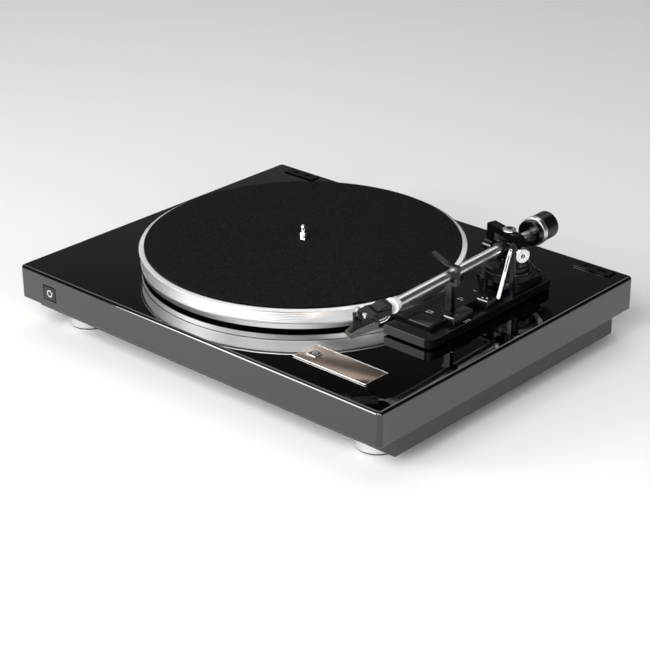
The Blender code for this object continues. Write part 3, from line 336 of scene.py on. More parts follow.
def smoky(name):
    """Clear moulding with a smoky tint that varies a little."""
    made, tree, shader, place = finish_tree(name)
    mottle = effect(tree, MOTTLE, Vector=place, Cloud_Size=120.0, Grain_Size=1200.0)
    tone = mix_colour(tree, mottle.outputs["Cloud"], (0.2, 0.19, 0.18), (0.3, 0.28, 0.26))
    link(tree, tone, shader.inputs["Base Color"])
    rough = spread(tree, mottle.outputs["Grain"], 0, 1, 0.05, 0.09)
    link(tree, rough, shader.inputs["Roughness"])
    constants(shader, Transmission_Weight=0.75, IOR=1.45)
    return made


def make_finishes():
    """Every finish of the player, by the short name that the pieces use."""
    return {
        "lacquer": lacquer("Black lacquer", (0.0008, 0.0007, 0.0006), Coat_Weight=0.7,
                           Coat_Roughness=0.01, IOR=1.55),
        "tray": moulding("Grained base moulding", (0.016, 0.0165, 0.0145), 0.42, 1400.0, 0.03),
        "satin": moulding("Satin black moulding", (0.0022, 0.0024, 0.0027), 0.27, 2200.0, 0.008,
                          0.5, Specular_IOR_Level=0.3),
        "control": moulding("Control moulding", (0.0022, 0.0026, 0.0034), 0.2, 2600.0, 0.004,
                            0.5, Specular_IOR_Level=0.3),
        "gloss": moulding("Gloss black moulding", (0.0015, 0.0015, 0.0017), 0.14, 900.0, 0.002),
        "rim": turned_metal("Turned aluminium", (0.92, 0.93, 0.94), 0.3, 1300.0, 0.00005, 0.04,
                            Anisotropic=0.95),
        "tube": drawn_metal("Satin aluminium", (0.92, 0.91, 0.9), 0.3),
        "collar": moulding("Pale cast collar", (0.6, 0.59, 0.58), 0.3, 2200.0, 0.004),
        "chrome": plain_metal("Chrome", (0.85, 0.85, 0.86), 0.06),
        "steel": turned_metal("Turned steel", (0.8, 0.8, 0.81), 0.25, 2000.0, 0.001, 0.06,
                              Anisotropic=0.6),
        "knurl": plain_metal("Bright cut metal", (0.9, 0.9, 0.9), 0.26),
        "brass": turned_metal("Turned brass", (0.72, 0.52, 0.24), 0.24, 2000.0, 0.001, 0.06,
                              Anisotropic=0.6),
        "felt": felt("Black felt", (0.0016, 0.0018, 0.0018), (0.035, 0.035, 0.033)),
        "rubber": moulding("Black rubber", (0.004, 0.004, 0.004), 0.6, 1800.0, 0.02),
        "bronze": drawn_metal("Bronze mirror", (0.42, 0.33, 0.27), 0.2, 600.0),
        "silver": plain_metal("Silver trim", (0.8, 0.79, 0.78), 0.2),
        "board": moulding("Circuit laminate", (0.02, 0.1, 0.05), 0.4, 900.0, 0.01),
        "white": moulding("White legend ink", (0.62, 0.62, 0.62), 0.5, 2500.0, 0.002, 0.1),
        "smoke": smoky("Smoky clear moulding"),
        "red": moulding("Red lead", (0.45, 0.03, 0.03), 0.45, 1800.0, 0.004),
        "green": moulding("Green lead", (0.05, 0.3, 0.12), 0.45, 1800.0, 0.004),
    }


FINISH = make_finishes()


# ---------------------------------------------------------------- shape tools
def add_piece(name, mesh, finish, body, replaced=(), spot=(0, 0, 0), turn=None, smooth=35):
    """Link a mesh, place it, give it its finish and let it ride on a body."""
    piece = bpy.data.objects.new(name, mesh)
    bpy.context.scene.collection.objects.link(piece)
    mesh.materials.append(FINISH[finish])
    piece.matrix_world = Matrix.Translation(spot) @ (turn.to_4x4() if turn else Matrix.Identity(4))
    mesh.shade_smooth()
    mesh.set_sharp_from_angle(angle=radians(smooth))
    bpy.context.view_layer.update()
    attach(piece, body)
    if replaced:
        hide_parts(*replaced)
    return piece


def finished_mesh(name, shape):
    """Turn a drafted shape into a mesh."""
    mesh = bpy.data.meshes.new(name)
    shape.normal_update()
    shape.to_mesh(mesh)
    shape.free()
    return mesh


def bridge(shape, first, second):
    """Join two rings of equal length with four-sided faces."""
    for i in range(len(first)):
        j = (i + 1) % len(first)
        shape.faces.new((first[i], first[j], second[j], second[i]))


def lofted(name, rings, caps=(True, True)):
    """Skin a stack of closed outlines, each a list of (x, y, z)."""
    shape = bmesh.new()
    loops = [[shape.verts.new(point) for point in ring] for ring in rings]
    for first, second in zip(loops, loops[1:]):
        bridge(shape, first, second)
    if caps[0]:
        shape.faces.new(loops[0][::-1])
    if caps[1]:
        shape.faces.new(loops[-1])
    bmesh.ops.recalc_face_normals(shape, faces=shape.faces)
    return finished_mesh(name, shape)


def turned(name, profile, steps):
    """Turn a profile of (radius, height) about local Z; a radius of 0 closes on the axis."""
    shape = bmesh.new()
    columns = []
    for radius, height in profile:
        if radius < ON_AXIS:
            columns.append([shape.verts.new((0, 0, height))])
            continue
        columns.append([shape.verts.new((radius * cos(2 * pi * i / steps),
                                         radius * sin(2 * pi * i / steps), height))
                        for i in range(steps)])
    for first, second in zip(columns, columns[1:]):
        for i in range(steps):
            j = (i + 1) % steps
            if len(first) == 1 and len(second) == 1:
                continue
            if len(first) == 1:
                shape.faces.new((first[0], second[i], second[j]))
            elif len(second) == 1:
                shape.faces.new((first[i], second[0], first[j]))
            else:
                shape.faces.new((first[i], second[i], second[j], first[j]))
    bmesh.ops.recalc_face_normals(shape, faces=shape.faces)
    return finished_mesh(name, shape)


def rounded_corner(profile, radius, steps=5):
    """Round each inner corner of an open profile of (radius, height) points."""
    points = [profile[0]]
    for before, corner, after in zip(profile, profile[1:], profile[2:]):
        a = Vector(before) - Vector(corner)
        b = Vector(after) - Vector(corner)
        reach = min(radius, a.length * 0.45, b.length * 0.45)
        start = Vector(corner) + a.normalized() * reach
        end = Vector(corner) + b.normalized() * reach
        for i in range(steps + 1):
            t = i / steps
            p = start * (1 - t) ** 2 + Vector(corner) * 2 * t * (1 - t) + end * t ** 2
            points.append((p.x, p.y))
    points.append(profile[-1])
    return points


def box_outline(x0, y0, x1, y1, radius, z, steps=8):
    """A rectangle with round corners, as one level of a loft."""
    points = []
    for x, y, start in ((x1, y1, 0), (x0, y1, 90), (x0, y0, 180), (x1, y0, 270)):
        cx = x - radius if x == x1 else x + radius
        cy = y - radius if y == y1 else y + radius
        for i in range(steps + 1):
            angle = radians(start + 90 * i / steps)
            points.append((cx + radius * cos(angle), cy + radius * sin(angle), z))
    return points


def inset_outline(low, high, inset, corner, z):
    """The outline of a box drawn in by an inset, at one height."""
    return box_outline(low[0] + inset, low[1] + inset, high[0] - inset, high[1] - inset,
                       corner, z)


def soft_block(name, low, high, edge, corner=None, steps=4):
    """A block with rounded upright corners and rounded top and bottom edges."""
    corner = edge if corner is None else corner
    angles = [pi / 2 * i / steps for i in range(steps + 1)]
    curve = [(edge * (1 - cos(angle)), edge * (1 - sin(angle))) for angle in angles]
    levels = [(inset, low[2] + rise) for inset, rise in curve[::-1]]
    levels += [(inset, high[2] - rise) for inset, rise in curve]
    return lofted(name, [inset_outline(low, high, inset, max(corner - inset, 0.02 * MM), z)
                         for inset, z in levels])


def sweep(name, points, radius, roundness=2):
    """A round lead along a smooth line through the points."""
    path = bpy.data.curves.new(name + "_path", "CURVE")
    path.dimensions = "3D"
    line = path.splines.new("BEZIER")
    line.bezier_points.add(len(points) - 1)
    for knot, point in zip(line.bezier_points, points):
        knot.co = point
        knot.handle_left_type = "AUTO"
        knot.handle_right_type = "AUTO"
    path.bevel_depth = radius
    path.bevel_resolution = roundness
    path.resolution_u = 6
    path.use_fill_caps = True
    draft = bpy.data.objects.new(name + "_draft", path)
    bpy.context.scene.collection.objects.link(draft)
    bpy.context.view_layer.update()
    final = draft.evaluated_get(bpy.context.evaluated_depsgraph_get())
    mesh = bpy.data.meshes.new_from_object(final)
    bpy.data.objects.remove(draft, do_unlink=True)
    bpy.data.curves.remove(path)
    mesh.materials.clear()
    mesh.name = name
    return mesh


def middle(node_name):
    """The middle of a CAD node's box."""
    low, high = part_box(node_name)
    return Vector([(a + b) / 2 for a, b in zip(low, high)])


def stand(node_name):
    """The middle of a CAD node's underside."""
    spot = middle(node_name)
    spot.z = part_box(node_name)[0][2]
    return spot


def round_size(node_name):
    """Radius and height of an upright round CAD node."""
    low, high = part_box(node_name)
    return (high[0] - low[0]) / 2, high[2] - low[2]


def joint_row(name):
    """A joint's row in the part's record."""
    joints = frame["record"]["behaviour"]["joints"]
    return next(joint for joint in joints if joint["name"] == name)


def add_turned(name, profile, steps, finish, body, replaced=(), spot=(0, 0, 0), turn=None,
               smooth=35):
    """Turn a profile and add it as a piece."""
    return add_piece(name, turned(name, profile, steps), finish, body, replaced, spot, turn,
                     smooth)


def polish(node_name, finish, edge=0.0, segments=3, smooth=30):
    """Keep a CAD node: give it its finish and soften its edges."""
    thing = frame["nodes"][node_name]
    for part in thing.material_slots:
        part.material = FINISH[finish]
    if not thing.material_slots:
        thing.data.materials.append(FINISH[finish])
    if edge > 0:
        bevel = thing.modifiers.new("soft_edges", "BEVEL")
        bevel.width = edge
        bevel.segments = segments
        bevel.limit_method = "ANGLE"
        bevel.angle_limit = radians(40)
        bevel.harden_normals = False
    thing.data.shade_smooth()
    thing.data.set_sharp_from_angle(angle=radians(smooth))


# ---------------------------------------------------------------- plinth and feet
def make_plinth():
    """One gloss shell round the five panels, open underneath, over the grained tray."""
    low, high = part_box("top_panel")
    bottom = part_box("front_panel")[0][2]
    rings = [inset_outline(low, high, PLINTH_OPENING, PLINTH_CORNER, bottom + 1.5 * MM),
             inset_outline(low, high, PLINTH_LIP, PLINTH_CORNER, bottom + 0.8 * MM)]
    for i in range(5):
        angle = pi / 2 * i / 4
        inset = MM * (1 - sin(angle))
        rings.append(inset_outline(low, high, inset, PLINTH_CORNER - inset,
                                   bottom + MM * (1 - cos(angle))))
    for i in range(13):
        angle = pi / 2 * i / 12
        inset = PLINTH_EDGE * (1 - cos(angle))
        rings.append(inset_outline(low, high, inset, PLINTH_CORNER - inset,
                                   high[2] - PLINTH_EDGE * (1 - sin(angle))))
    shell = add_piece("plinth_shell", lofted("plinth_shell", rings), "lacquer", BASE,
                      ("top_panel", "front_panel", "rear_panel", "left_panel", "right_panel"),
                      smooth=50)
    flat = shell.modifiers.new("true_faces", "WEIGHTED_NORMAL")
    flat.keep_sharp = True
    flat.weight = 80
    polish("base_tray", "tray", 0.8 * MM)


def make_feet():
    """Four plated rings, each round a rubber pad."""
    for corner in ("front_left", "front_right", "rear_left", "rear_right"):
        ring = "foot_ring_" + corner
        radius, tall = round_size(ring)
        rim = ((radius * 0.45, tall), (radius, tall), (radius, tall * 0.5), (radius, 0),
               (radius * 0.45, 0))
        add_turned("foot_" + corner, rounded_corner(rim, 1.1 * MM), 96, "chrome", BASE, (ring,),
                   stand(ring))
        polish("foot_pad_" + corner, "rubber", 0.3 * MM)


# ---------------------------------------------------------------- platter
def make_rim():
    """The turned platter: a crowned rim, a grooved wall and a step near its foot."""
    radius, top = round_size("platter")
    crown_start = CROWN_START * radius
    crown_run = radius - 0.3 * MM - crown_start
    neck = radius - 1.7 * MM
    inside = radius - WALL_THICK
    step = 5.2 * MM
    wall_top = top - 2.5 * MM
    wall_foot = step + 0.5 * MM
    seat = top - 0.6 * MM
    web = top - 4 * MM
    profile = [(CENTRE_HOLE, seat), (crown_start - 0.1 * MM, seat)]
    profile += [(crown_start + crown_run * i / 8, top - 0.8 * MM * (i / 8) ** 1.6)
                for i in range(9)]
    profile += [(radius - 0.08 * MM, top - 0.95 * MM), (radius, top - 1.2 * MM),
                (radius, top - 1.9 * MM), (radius - 0.3 * MM, top - 2.2 * MM), (neck, wall_top)]
    for i in range(1, WALL_GROOVES):
        z = wall_top + (wall_foot - wall_top) * i / WALL_GROOVES
        profile += [(neck, z + 0.12 * MM), (neck - 0.09 * MM, z), (neck, z - 0.12 * MM)]
    profile += [(neck, wall_foot), (neck + 0.5 * MM, step + 0.15 * MM), (neck + 0.5 * MM, step),
                (neck - 0.2 * MM, step - 0.4 * MM), (neck - 0.6 * MM, 0.4 * MM), (neck - MM, 0),
                (inside, 0), (inside, web), (CENTRE_HOLE, web), (CENTRE_HOLE, seat)]
    add_turned("platter_rim", profile, 256, "rim", "platter_body", ("platter",),
               stand("platter"), smooth=28)


def make_mat():
    """The felt mat, laid on the platter."""
    radius, thick = round_size("platter_mat")
    edge = ((MAT_HOLE, 0), (MAT_HOLE, thick), (radius, thick), (radius, 0), (MAT_HOLE, 0))
    mat = add_turned("felt_mat", rounded_corner(edge, 0.5 * MM), 192, "felt", "platter_body",
                     ("platter_mat",), stand("platter_mat"))


def make_spindle():
    """The spindle, with a collar above the mat and a narrower rounded tip."""
    radius, tip = round_size("spindle")
    mat_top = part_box("platter_mat")[1][2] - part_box("spindle")[0][2]
    pin = [(0, tip), (0.9 * MM, tip - 0.12 * MM), (1.6 * MM, tip - 0.6 * MM),
           (2 * MM, tip - 1.5 * MM), (2.25 * MM, tip - 3 * MM),
           (radius - 0.35 * MM, mat_top + 7 * MM), (radius - 0.3 * MM, mat_top + 6.6 * MM),
           (radius, mat_top + 6.1 * MM), (radius, 0.4 * MM), (radius - 0.4 * MM, 0), (0, 0)]
    add_turned("centre_spindle", pin, 64, "chrome", "platter_body", ("spindle",),
               stand("spindle"), smooth=40)


def make_drive():
    """The bearing, motor, belt and board, which stay as the CAD has them."""
    for name, finish in (("subplatter", "satin"), ("bearing_housing", "steel"),
                         ("bearing_bush", "brass"), ("thrust_ball", "chrome"),
                         ("motor_body", "steel"), ("motor_bracket", "steel"),
                         ("motor_pulley", "brass"), ("drive_belt", "rubber"),
                         ("circuit_board", "board")):
        polish(name, finish)


# ---------------------------------------------------------------- controls
def make_housing():
    """The control housing, the lines round its raised panel and its front bevel."""
    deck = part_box("top_panel")[1][2]
    low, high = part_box("control_housing")
    right, front = high[0], low[1]
    polish("control_housing", "control", 0.9 * MM, 4, 40)
    top = deck + PANEL_HEIGHT
    x0, x1 = (right - reach for reach in PANEL_FROM_RIGHT)
    strips = [(name, x0, front + y, x1, front + y + LINE_WIDTH) for name, y in PANEL_LINES]
    strips.append(("left", x0, strips[0][2], x0 + LINE_WIDTH, strips[-1][4]))
    for name, x_from, y_from, x_to, y_to in strips:
        strip = soft_block(name, (x_from, y_from, top - 0.2 * MM), (x_to, y_to, top + 0.12 * MM),
                           0.07 * MM)
        add_piece("panel_line_" + name, strip, "satin", BASE)
    foot, crest = deck + 9.6 * MM, deck + 13.4 * MM
    face = [(right - 50.4 * MM, front + 12.5 * MM, foot),
            (right - 11.4 * MM, front + 12.5 * MM, foot),
            (right - 12 * MM, front + 16.3 * MM, crest),
            (right - 50.4 * MM, front + 16.3 * MM, crest)]
    back = [(x, front + 16.7 * MM, z) for x, _, z in face]
    add_piece("housing_bevel", lofted("housing_bevel", [face, back]), "control", BASE)
    make_keys()
    make_legends(right, front, top, deck + LEDGE_HEIGHT)


def make_keys():
    """The square start key, and the two lever caps with slanted sides and a white line."""
    low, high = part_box("start_stop_key")
    cap = soft_block("start_stop_key_cap", low, high, 0.9 * MM, 1.4 * MM)
    add_piece("start_stop_key_cap", cap, "control", "key_body", ("start_stop_key",))
    for name, body in (("speed_lever", "speed_body"), ("size_lever", "size_body")):
        low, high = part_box(name)
        rings = []
        for z, inset, lean in ((low[2] + 3 * MM, 0, 0), (high[2] - 0.7 * MM, 0.35 * MM, LEVER_LEAN),
                               (high[2] - 0.2 * MM, 0.55 * MM, LEVER_LEAN),
                               (high[2], MM, LEVER_LEAN)):
            rings.append(box_outline(low[0] + inset, low[1] + lean * 0.4 + inset, high[0] - inset,
                                     high[1] - lean - inset, 0.9 * MM, z))
        add_piece(name + "_cap", lofted(name + "_cap", rings), "control", body, (name,))
        line = soft_block(name + "_line",
                          (low[0] + 0.5 * MM, low[1] + 0.35 * MM, high[2] - 0.42 * MM),
                          (high[0] - 0.5 * MM, low[1] + 1.25 * MM, high[2] + 0.06 * MM), 0.1 * MM)
        add_piece(name + "_line", line, LABELS, body)
    dot = [(0, 0.12 * MM), (0.7 * MM, 0.12 * MM), (0.8 * MM, 0), (0, 0)]
    for i in range(2):
        spot = (low[0] + (3.2 + 3.6 * i) * MM, low[1] + (4.6 + 1.6 * i) * MM, high[2] + 0.02 * MM)
        add_turned(f"size_lever_dot_{i}", dot, 24, LABELS, "size_body", spot=spot)


def make_legends(right, front, panel, ledge):
    """Small printed bars beside the controls, in place of words."""
    rows = (("key_mark", 35.5, 36.3, panel, (3.4, 2.2)),
            ("key_mark_rear", 35.5, 39.1, panel, (2.6, 3.0)),
            ("panel_mark", 32, 74.5, panel, (3.2, 2.6)),
            ("panel_mark_rear", 31, 77.5, panel, (1.2, 1.2)),
            ("plate_mark", 32, 97.5, panel, (1.4, 1.4)),
            ("edge_mark", 4.1, 48.5, ledge, (1.1, 1.1)),
            ("edge_mark_mid", 4.1, 51.5, ledge, (1.1, 1.1)),
            ("edge_mark_rear", 4.1, 54.5, ledge, (1.1, 1.1)))
    for name, from_right, from_front, z, widths in rows:
        x = right - from_right * MM
        y = front + from_front * MM
        for i, wide in enumerate(widths):
            bar = soft_block(name, (x, y, z - 0.02 * MM),
                             (x + wide * MM, y + 0.6 * MM, z + 0.06 * MM), 0.03 * MM)
            add_piece(f"{name}_{i}", bar, LABELS, BASE)
            x += (wide + 0.8) * MM


def make_rest():
    """The arm's rest, with the clip that holds the tube, and the lift platform."""
    polish("rest_post", "control", 0.5 * MM)
    polish("rest_latch", "control", 0.6 * MM)
    polish("lift_platform", "rubber", 0.4 * MM)
    centre = middle("rest_post") + Vector((0.9 * MM, 0, 0))
    centre.z = middle("scale_ring").z
    section = ((CLIP_INNER, -CLIP_HALF_WIDTH), (CLIP_OUTER, -CLIP_HALF_WIDTH),
               (CLIP_OUTER, CLIP_HALF_WIDTH), (CLIP_INNER, CLIP_HALF_WIDTH))
    start, end = CLIP_ARC
    rings = []
    for i in range(25):
        angle = radians(start + (end - start) * i / 24)
        rings.append([(centre.x + radius * cos(angle), centre.y + y, centre.z + radius * sin(angle))
                      for radius, y in section])
    add_piece("rest_clip", lofted("rest_clip", rings), "control", BASE)


# ---------------------------------------------------------------- tone arm
def knurled(name, outer, depth, low, high, count, edge):
    """A drum whose wall is cut with upright flutes."""
    rings = []
    steps = count * 4
    for z, inset, bite in ((low, edge, 0.0), (low + edge, 0.0, 0.0), (low + 1.6 * edge, 0.0, 1.0),
                           (high - 1.6 * edge, 0.0, 1.0), (high - edge, 0.0, 0.0),
                           (high, edge, 0.0)):
        ring = []
        for i in range(steps):
            angle = 2 * pi * i / steps
            cut = depth * bite if i % 4 in (0, 1) else 0.0
            radius = outer - inset - cut
            ring.append((radius * cos(angle), radius * sin(angle), z))
        rings.append(ring)
    return lofted(name, rings)


def make_arm_base():
    """The tower, its fluted anti-skate ring with a scale, and two small screws."""
    polish("arm_pedestal", "control", 0.5 * MM)
    polish("arm_tower", "satin", 0.3 * MM)
    radius, tall = round_size("anti_skate_ring")
    spot = stand("anti_skate_ring")
    drum = knurled("anti_skate_drum", radius, 0.5 * MM, 0, tall, 60, 0.7 * MM)
    add_piece("anti_skate_drum", drum, "satin", "anti_skate_body", ("anti_skate_ring",), spot,
              smooth=25)
    shelf = [(0, tall + 0.25 * MM), (radius - 3.2 * MM, tall + 0.25 * MM),
             (radius - 2.9 * MM, tall)]
    add_turned("anti_skate_dish", shelf, 72, "gloss", "anti_skate_body", spot=spot)
    for i in range(24):
        tick = soft_block("tick", (radius - 2.6 * MM, -0.12 * MM, 0),
                          (radius - 1.1 * MM, 0.12 * MM, 0.05 * MM), 0.02 * MM)
        add_piece(f"anti_skate_tick_{i}", tick, LABELS, "anti_skate_body",
                  spot=spot + Vector((0, 0, tall)),
                  turn=Matrix.Rotation(radians(200 + 7 * i), 4, "Z"))
    bolt = [(0, 0.9 * MM), (0.9 * MM, 0.9 * MM), (1.3 * MM, 0.5 * MM), (1.3 * MM, 0), (0, 0)]
    crown = middle("arm_tower")
    crown.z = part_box("arm_tower")[1][2] - 3 * MM
    for i, degrees in enumerate((235, 285)):
        around = Matrix.Rotation(radians(degrees), 4, "Z")
        add_turned(f"tower_screw_{i}", bolt, 24, "chrome", BASE,
                   spot=crown + around @ Vector((12.3 * MM, 0, 0)),
                   turn=around @ Matrix.Rotation(pi / 2, 4, "Y"))


def arm_turn():
    """The turn about Z that puts -Y along the arm, from its weight to its head."""
    way = middle("head_collar") - middle("scale_ring")
    return Matrix.Rotation(atan2(way.x, -way.y), 4, "Z")


def make_gimbal():
    """The gimbal frame, its bearing nut with a screw, and the tracking force dial."""
    polish("gimbal_frame", "gloss", 0.5 * MM)
    polish("arm_block", "satin", 0.3 * MM)
    radius, tall = round_size("bearing_nut")
    spot = stand("bearing_nut")
    flange = tall * 0.75
    nut = knurled("frame_nut", radius, 0.3 * MM, 0, flange, 18, 0.5 * MM)
    add_piece("frame_nut", nut, "knurl", "yoke_body", ("bearing_nut",), spot)
    head = rounded_corner(((0, tall), (2.6 * MM, tall), (2.8 * MM, flange), (0, flange)), 0.3 * MM)
    add_turned("frame_nut_screw", head, 32, "gloss", "yoke_body", spot=spot)
    make_dial()


def make_dial():
    """The tracking force dial: a turned drum, a pale face with ticks, and a slotted hub."""
    pivot = joint_row("force_dial_turn")
    spot = Vector(pivot["pos_m"])
    facing = Vector(pivot["axis"]).to_track_quat("Z", "Y").to_matrix().to_4x4()
    drum = rounded_corner(((0, 0), (DIAL_R - 0.9 * MM, 0), (DIAL_R, -0.7 * MM),
                           (DIAL_R, -DIAL_THICK), (2 * MM, -DIAL_THICK),
                           (1.8 * MM, -DIAL_THICK - MM), (0, -DIAL_THICK - MM)), 0.35 * MM)
    face = [(0, 0.12 * MM), (DIAL_R - 1.6 * MM, 0.12 * MM), (DIAL_R - 1.5 * MM, 0)]
    hub = rounded_corner(((0, 0.55 * MM), (1.9 * MM, 0.55 * MM), (2 * MM, 0.1 * MM),
                          (0, 0.1 * MM)), 0.2 * MM)
    add_turned("dial_drum", drum, 96, "steel", "dial_body", ("force_dial",), spot, facing)
    add_turned("dial_face", face, 72, "collar", "dial_body", spot=spot, turn=facing)
    add_turned("dial_hub", hub, 40, "gloss", "dial_body", spot=spot, turn=facing)
    slot = soft_block("dial_slot", (-1.5 * MM, -0.4 * MM, 0.3 * MM), (1.5 * MM, 0.4 * MM, 0.6 * MM),
                      0.05 * MM)
    add_piece("dial_slot", slot, "silver", "dial_body", spot=spot,
              turn=facing @ Matrix.Rotation(radians(60), 4, "Z"))
    for i in range(16):
        tick = soft_block("tick", (DIAL_R - 2.9 * MM, -0.1 * MM, 0.1 * MM),
                          (DIAL_R - 1.9 * MM, 0.1 * MM, 0.16 * MM), 0.02 * MM)
        add_piece(f"dial_tick_{i}", tick, "gloss", "dial_body", spot=spot,
                  turn=facing @ Matrix.Rotation(2 * pi * i / 16, 4, "Z"))


def make_tube():
    """The tone tube with its flared front collar and rear sleeve, and the weight behind."""
    turn = arm_turn()
    forward = turn @ Matrix.Rotation(pi / 2, 4, "X")
    spot = middle("arm_tower")
    spot.z = middle("scale_ring").z
    end = (middle("head_collar") - spot).length - 3.2 * MM
    pipe = [(TUBE_BORE, TUBE_START), (TUBE_R, TUBE_START), (TUBE_R, end), (TUBE_BORE, end),
            (TUBE_BORE, TUBE_START)]
    flare = rounded_corner(((0, end - MM), (TUBE_R + 0.5 * MM, end - MM),
                            (TUBE_R + 0.9 * MM, end + 0.6 * MM), (6.5 * MM, end + 4.2 * MM),
                            (7.1 * MM, end + 5.6 * MM), (6.8 * MM, end + 6.4 * MM),
                            (0, end + 6.4 * MM)), 0.5 * MM)
    sleeve = rounded_corner(((TUBE_R + 0.2 * MM, TUBE_START - 2 * MM),
                             (TUBE_R + 1.7 * MM, TUBE_START - 2 * MM),
                             (TUBE_R + 1.4 * MM, TUBE_START + 0.4 * MM),
                             (TUBE_R + 0.2 * MM, TUBE_START + 0.6 * MM)), 0.3 * MM)
    add_turned("tone_tube", pipe, 64, "tube", "arm_body", ("arm_tube",), spot, forward)
    add_turned("flared_collar", flare, 64, "collar", "arm_body", ("head_collar",), spot, forward)
    add_turned("tube_sleeve_lip", sleeve, 48, "satin", "arm_body", spot=spot, turn=forward)
    polish("rear_shaft", "tube", 0.2 * MM)
    make_weight(spot, turn @ Matrix.Rotation(-pi / 2, 4, "X"))


def make_weight(spot, backward):
    """Two black drums on the rear shaft, with the bright scale ring between them."""
    nose_end = SCALE_FRONT - 0.3 * MM
    drum_start = SCALE_REAR + 0.3 * MM
    recess = WEIGHT_REAR - 0.8 * MM
    nose = rounded_corner(((WEIGHT_BORE, WEIGHT_FRONT + 1.2 * MM),
                           (5 * MM, WEIGHT_FRONT + 1.2 * MM), (5.4 * MM, WEIGHT_FRONT),
                           (11.9 * MM, WEIGHT_FRONT), (12.2 * MM, nose_end),
                           (WEIGHT_BORE, nose_end)), 0.7 * MM)
    drum = rounded_corner(((WEIGHT_BORE, drum_start), (12.4 * MM, drum_start),
                           (12.6 * MM, drum_start + 0.9 * MM), (12.6 * MM, WEIGHT_REAR - 1.2 * MM),
                           (11.4 * MM, WEIGHT_REAR), (8.6 * MM, WEIGHT_REAR), (8.2 * MM, recess),
                           (WEIGHT_BORE, recess)), 0.5 * MM)
    band = rounded_corner(((10 * MM, SCALE_FRONT), (SCALE_R, SCALE_FRONT),
                           (SCALE_R + 0.1 * MM, SCALE_FRONT + MM),
                           (SCALE_R + 0.1 * MM, SCALE_REAR - MM), (SCALE_R, SCALE_REAR),
                           (10 * MM, SCALE_REAR)), 0.4 * MM)
    add_turned("weight_nose", nose, 96, "gloss", "weight_body", ("counterweight",), spot, backward)
    add_turned("weight_drum", drum, 96, "satin", "weight_body", spot=spot, turn=backward)
    add_turned("scale_band", band, 96, "tube", "scale_body", ("scale_ring",), spot, backward)
    mark_end = SCALE_REAR - 0.8 * MM
    for i in range(36):
        length = 2.2 * MM if i % 3 == 0 else 1.2 * MM
        tick = soft_block("tick", (SCALE_R + 0.07 * MM, -0.12 * MM, mark_end - length),
                          (SCALE_R + 0.13 * MM, 0.12 * MM, mark_end), 0.02 * MM)
        add_piece(f"scale_tick_{i}", tick, "gloss", "scale_body", spot=spot,
                  turn=backward @ Matrix.Rotation(2 * pi * i / 36, 4, "Z"))


def make_head():
    """The headshell and cartridge, with two screws and four signal leads."""
    polish("headshell", "satin", 0.5 * MM)
    polish("cartridge", "satin", 0.5 * MM)
    polish("stylus_assembly", "rubber", 0.3 * MM)
    polish("stylus_guard", "smoke", 0.25 * MM)
    for side in ("left", "right"):
        make_head_screw(side)
    from_collar = middle("head_collar") + Vector((-1.5 * MM, -5.5 * MM, -4.6 * MM))
    for i, finish in enumerate(("red", "green", "white", "collar")):
        side = Vector((2.2 * MM * (i - 1.5), 0, 0))
        drop = -1 * MM - 1.2 * MM * (i % 2)
        start = from_collar + side
        end = middle("cartridge") + Vector((5.5 * MM, 8.5 * MM, drop)) + side
        bend = (start + end) / 2 + Vector((1.5 * MM, 0.5 * MM, -1.2 * MM))
        lead = sweep(f"signal_lead_{i}", [start, bend, end], 0.42 * MM)
        add_piece(f"signal_lead_{i}", lead, finish, "arm_body")


def make_head_screw(side):
    """Low domed screw with a cross slot, and the shank under it."""
    name = "cartridge_screw_" + side
    radius, tall = round_size(name)
    spot = stand(name)
    seat = tall - 1.6 * MM
    dome = [(0, tall - 0.35 * MM), (radius * 0.4, tall - 0.4 * MM),
            (radius * 0.75, tall - 0.65 * MM), (radius * 0.95, tall - 1.05 * MM), (radius, seat),
            (radius * 0.5, seat), (radius * 0.5, 0), (0, 0)]
    add_turned(f"domed_screw_{side}", dome, 40, "knurl", "arm_body", (name,), spot)
    for i in range(2):
        slot = soft_block("slot", (-radius * 0.6, -0.2 * MM, 0),
                          (radius * 0.6, 0.2 * MM, 0.12 * MM), 0.03 * MM)
        add_piece(f"screw_slot_{side}_{i}", slot, "gloss", "arm_body",
                  spot=spot + Vector((0, 0, tall - 0.46 * MM)),
                  turn=Matrix.Rotation(radians(20 + 90 * i), 4, "Z"))


# ---------------------------------------------------------------- trim
def make_trim():
    """The cue lever's grip, the fittings at the rear, the name plate and the badges."""
    polish("cue_lever", "tube", 0.25 * MM)
    low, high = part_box("cue_lever")
    top = Vector(joint_row("cue_lever_turn")["pos_m"])
    end = Vector((high[0] - 1.3 * MM, low[1] + 1.3 * MM, low[2] + 1.6 * MM))
    grip = sweep("cue_grip", [top.lerp(end, 0.48), top.lerp(end, 0.75), end], 1.25 * MM, 5)
    add_piece("cue_grip", grip, "collar", "cue_body")
    for name, finish, edge in (("hinge_plate_left", "gloss", 0.25),
                               ("hinge_plate_right", "gloss", 0.25),
                               ("output_sockets", "satin", 0.3), ("power_inlet", "satin", 0.3),
                               ("ground_terminal", "brass", 0.3)):
        polish(name, finish, edge * MM)
    make_name_plate()
    make_badge("name_badge", True)
    make_badge("front_badge", False)


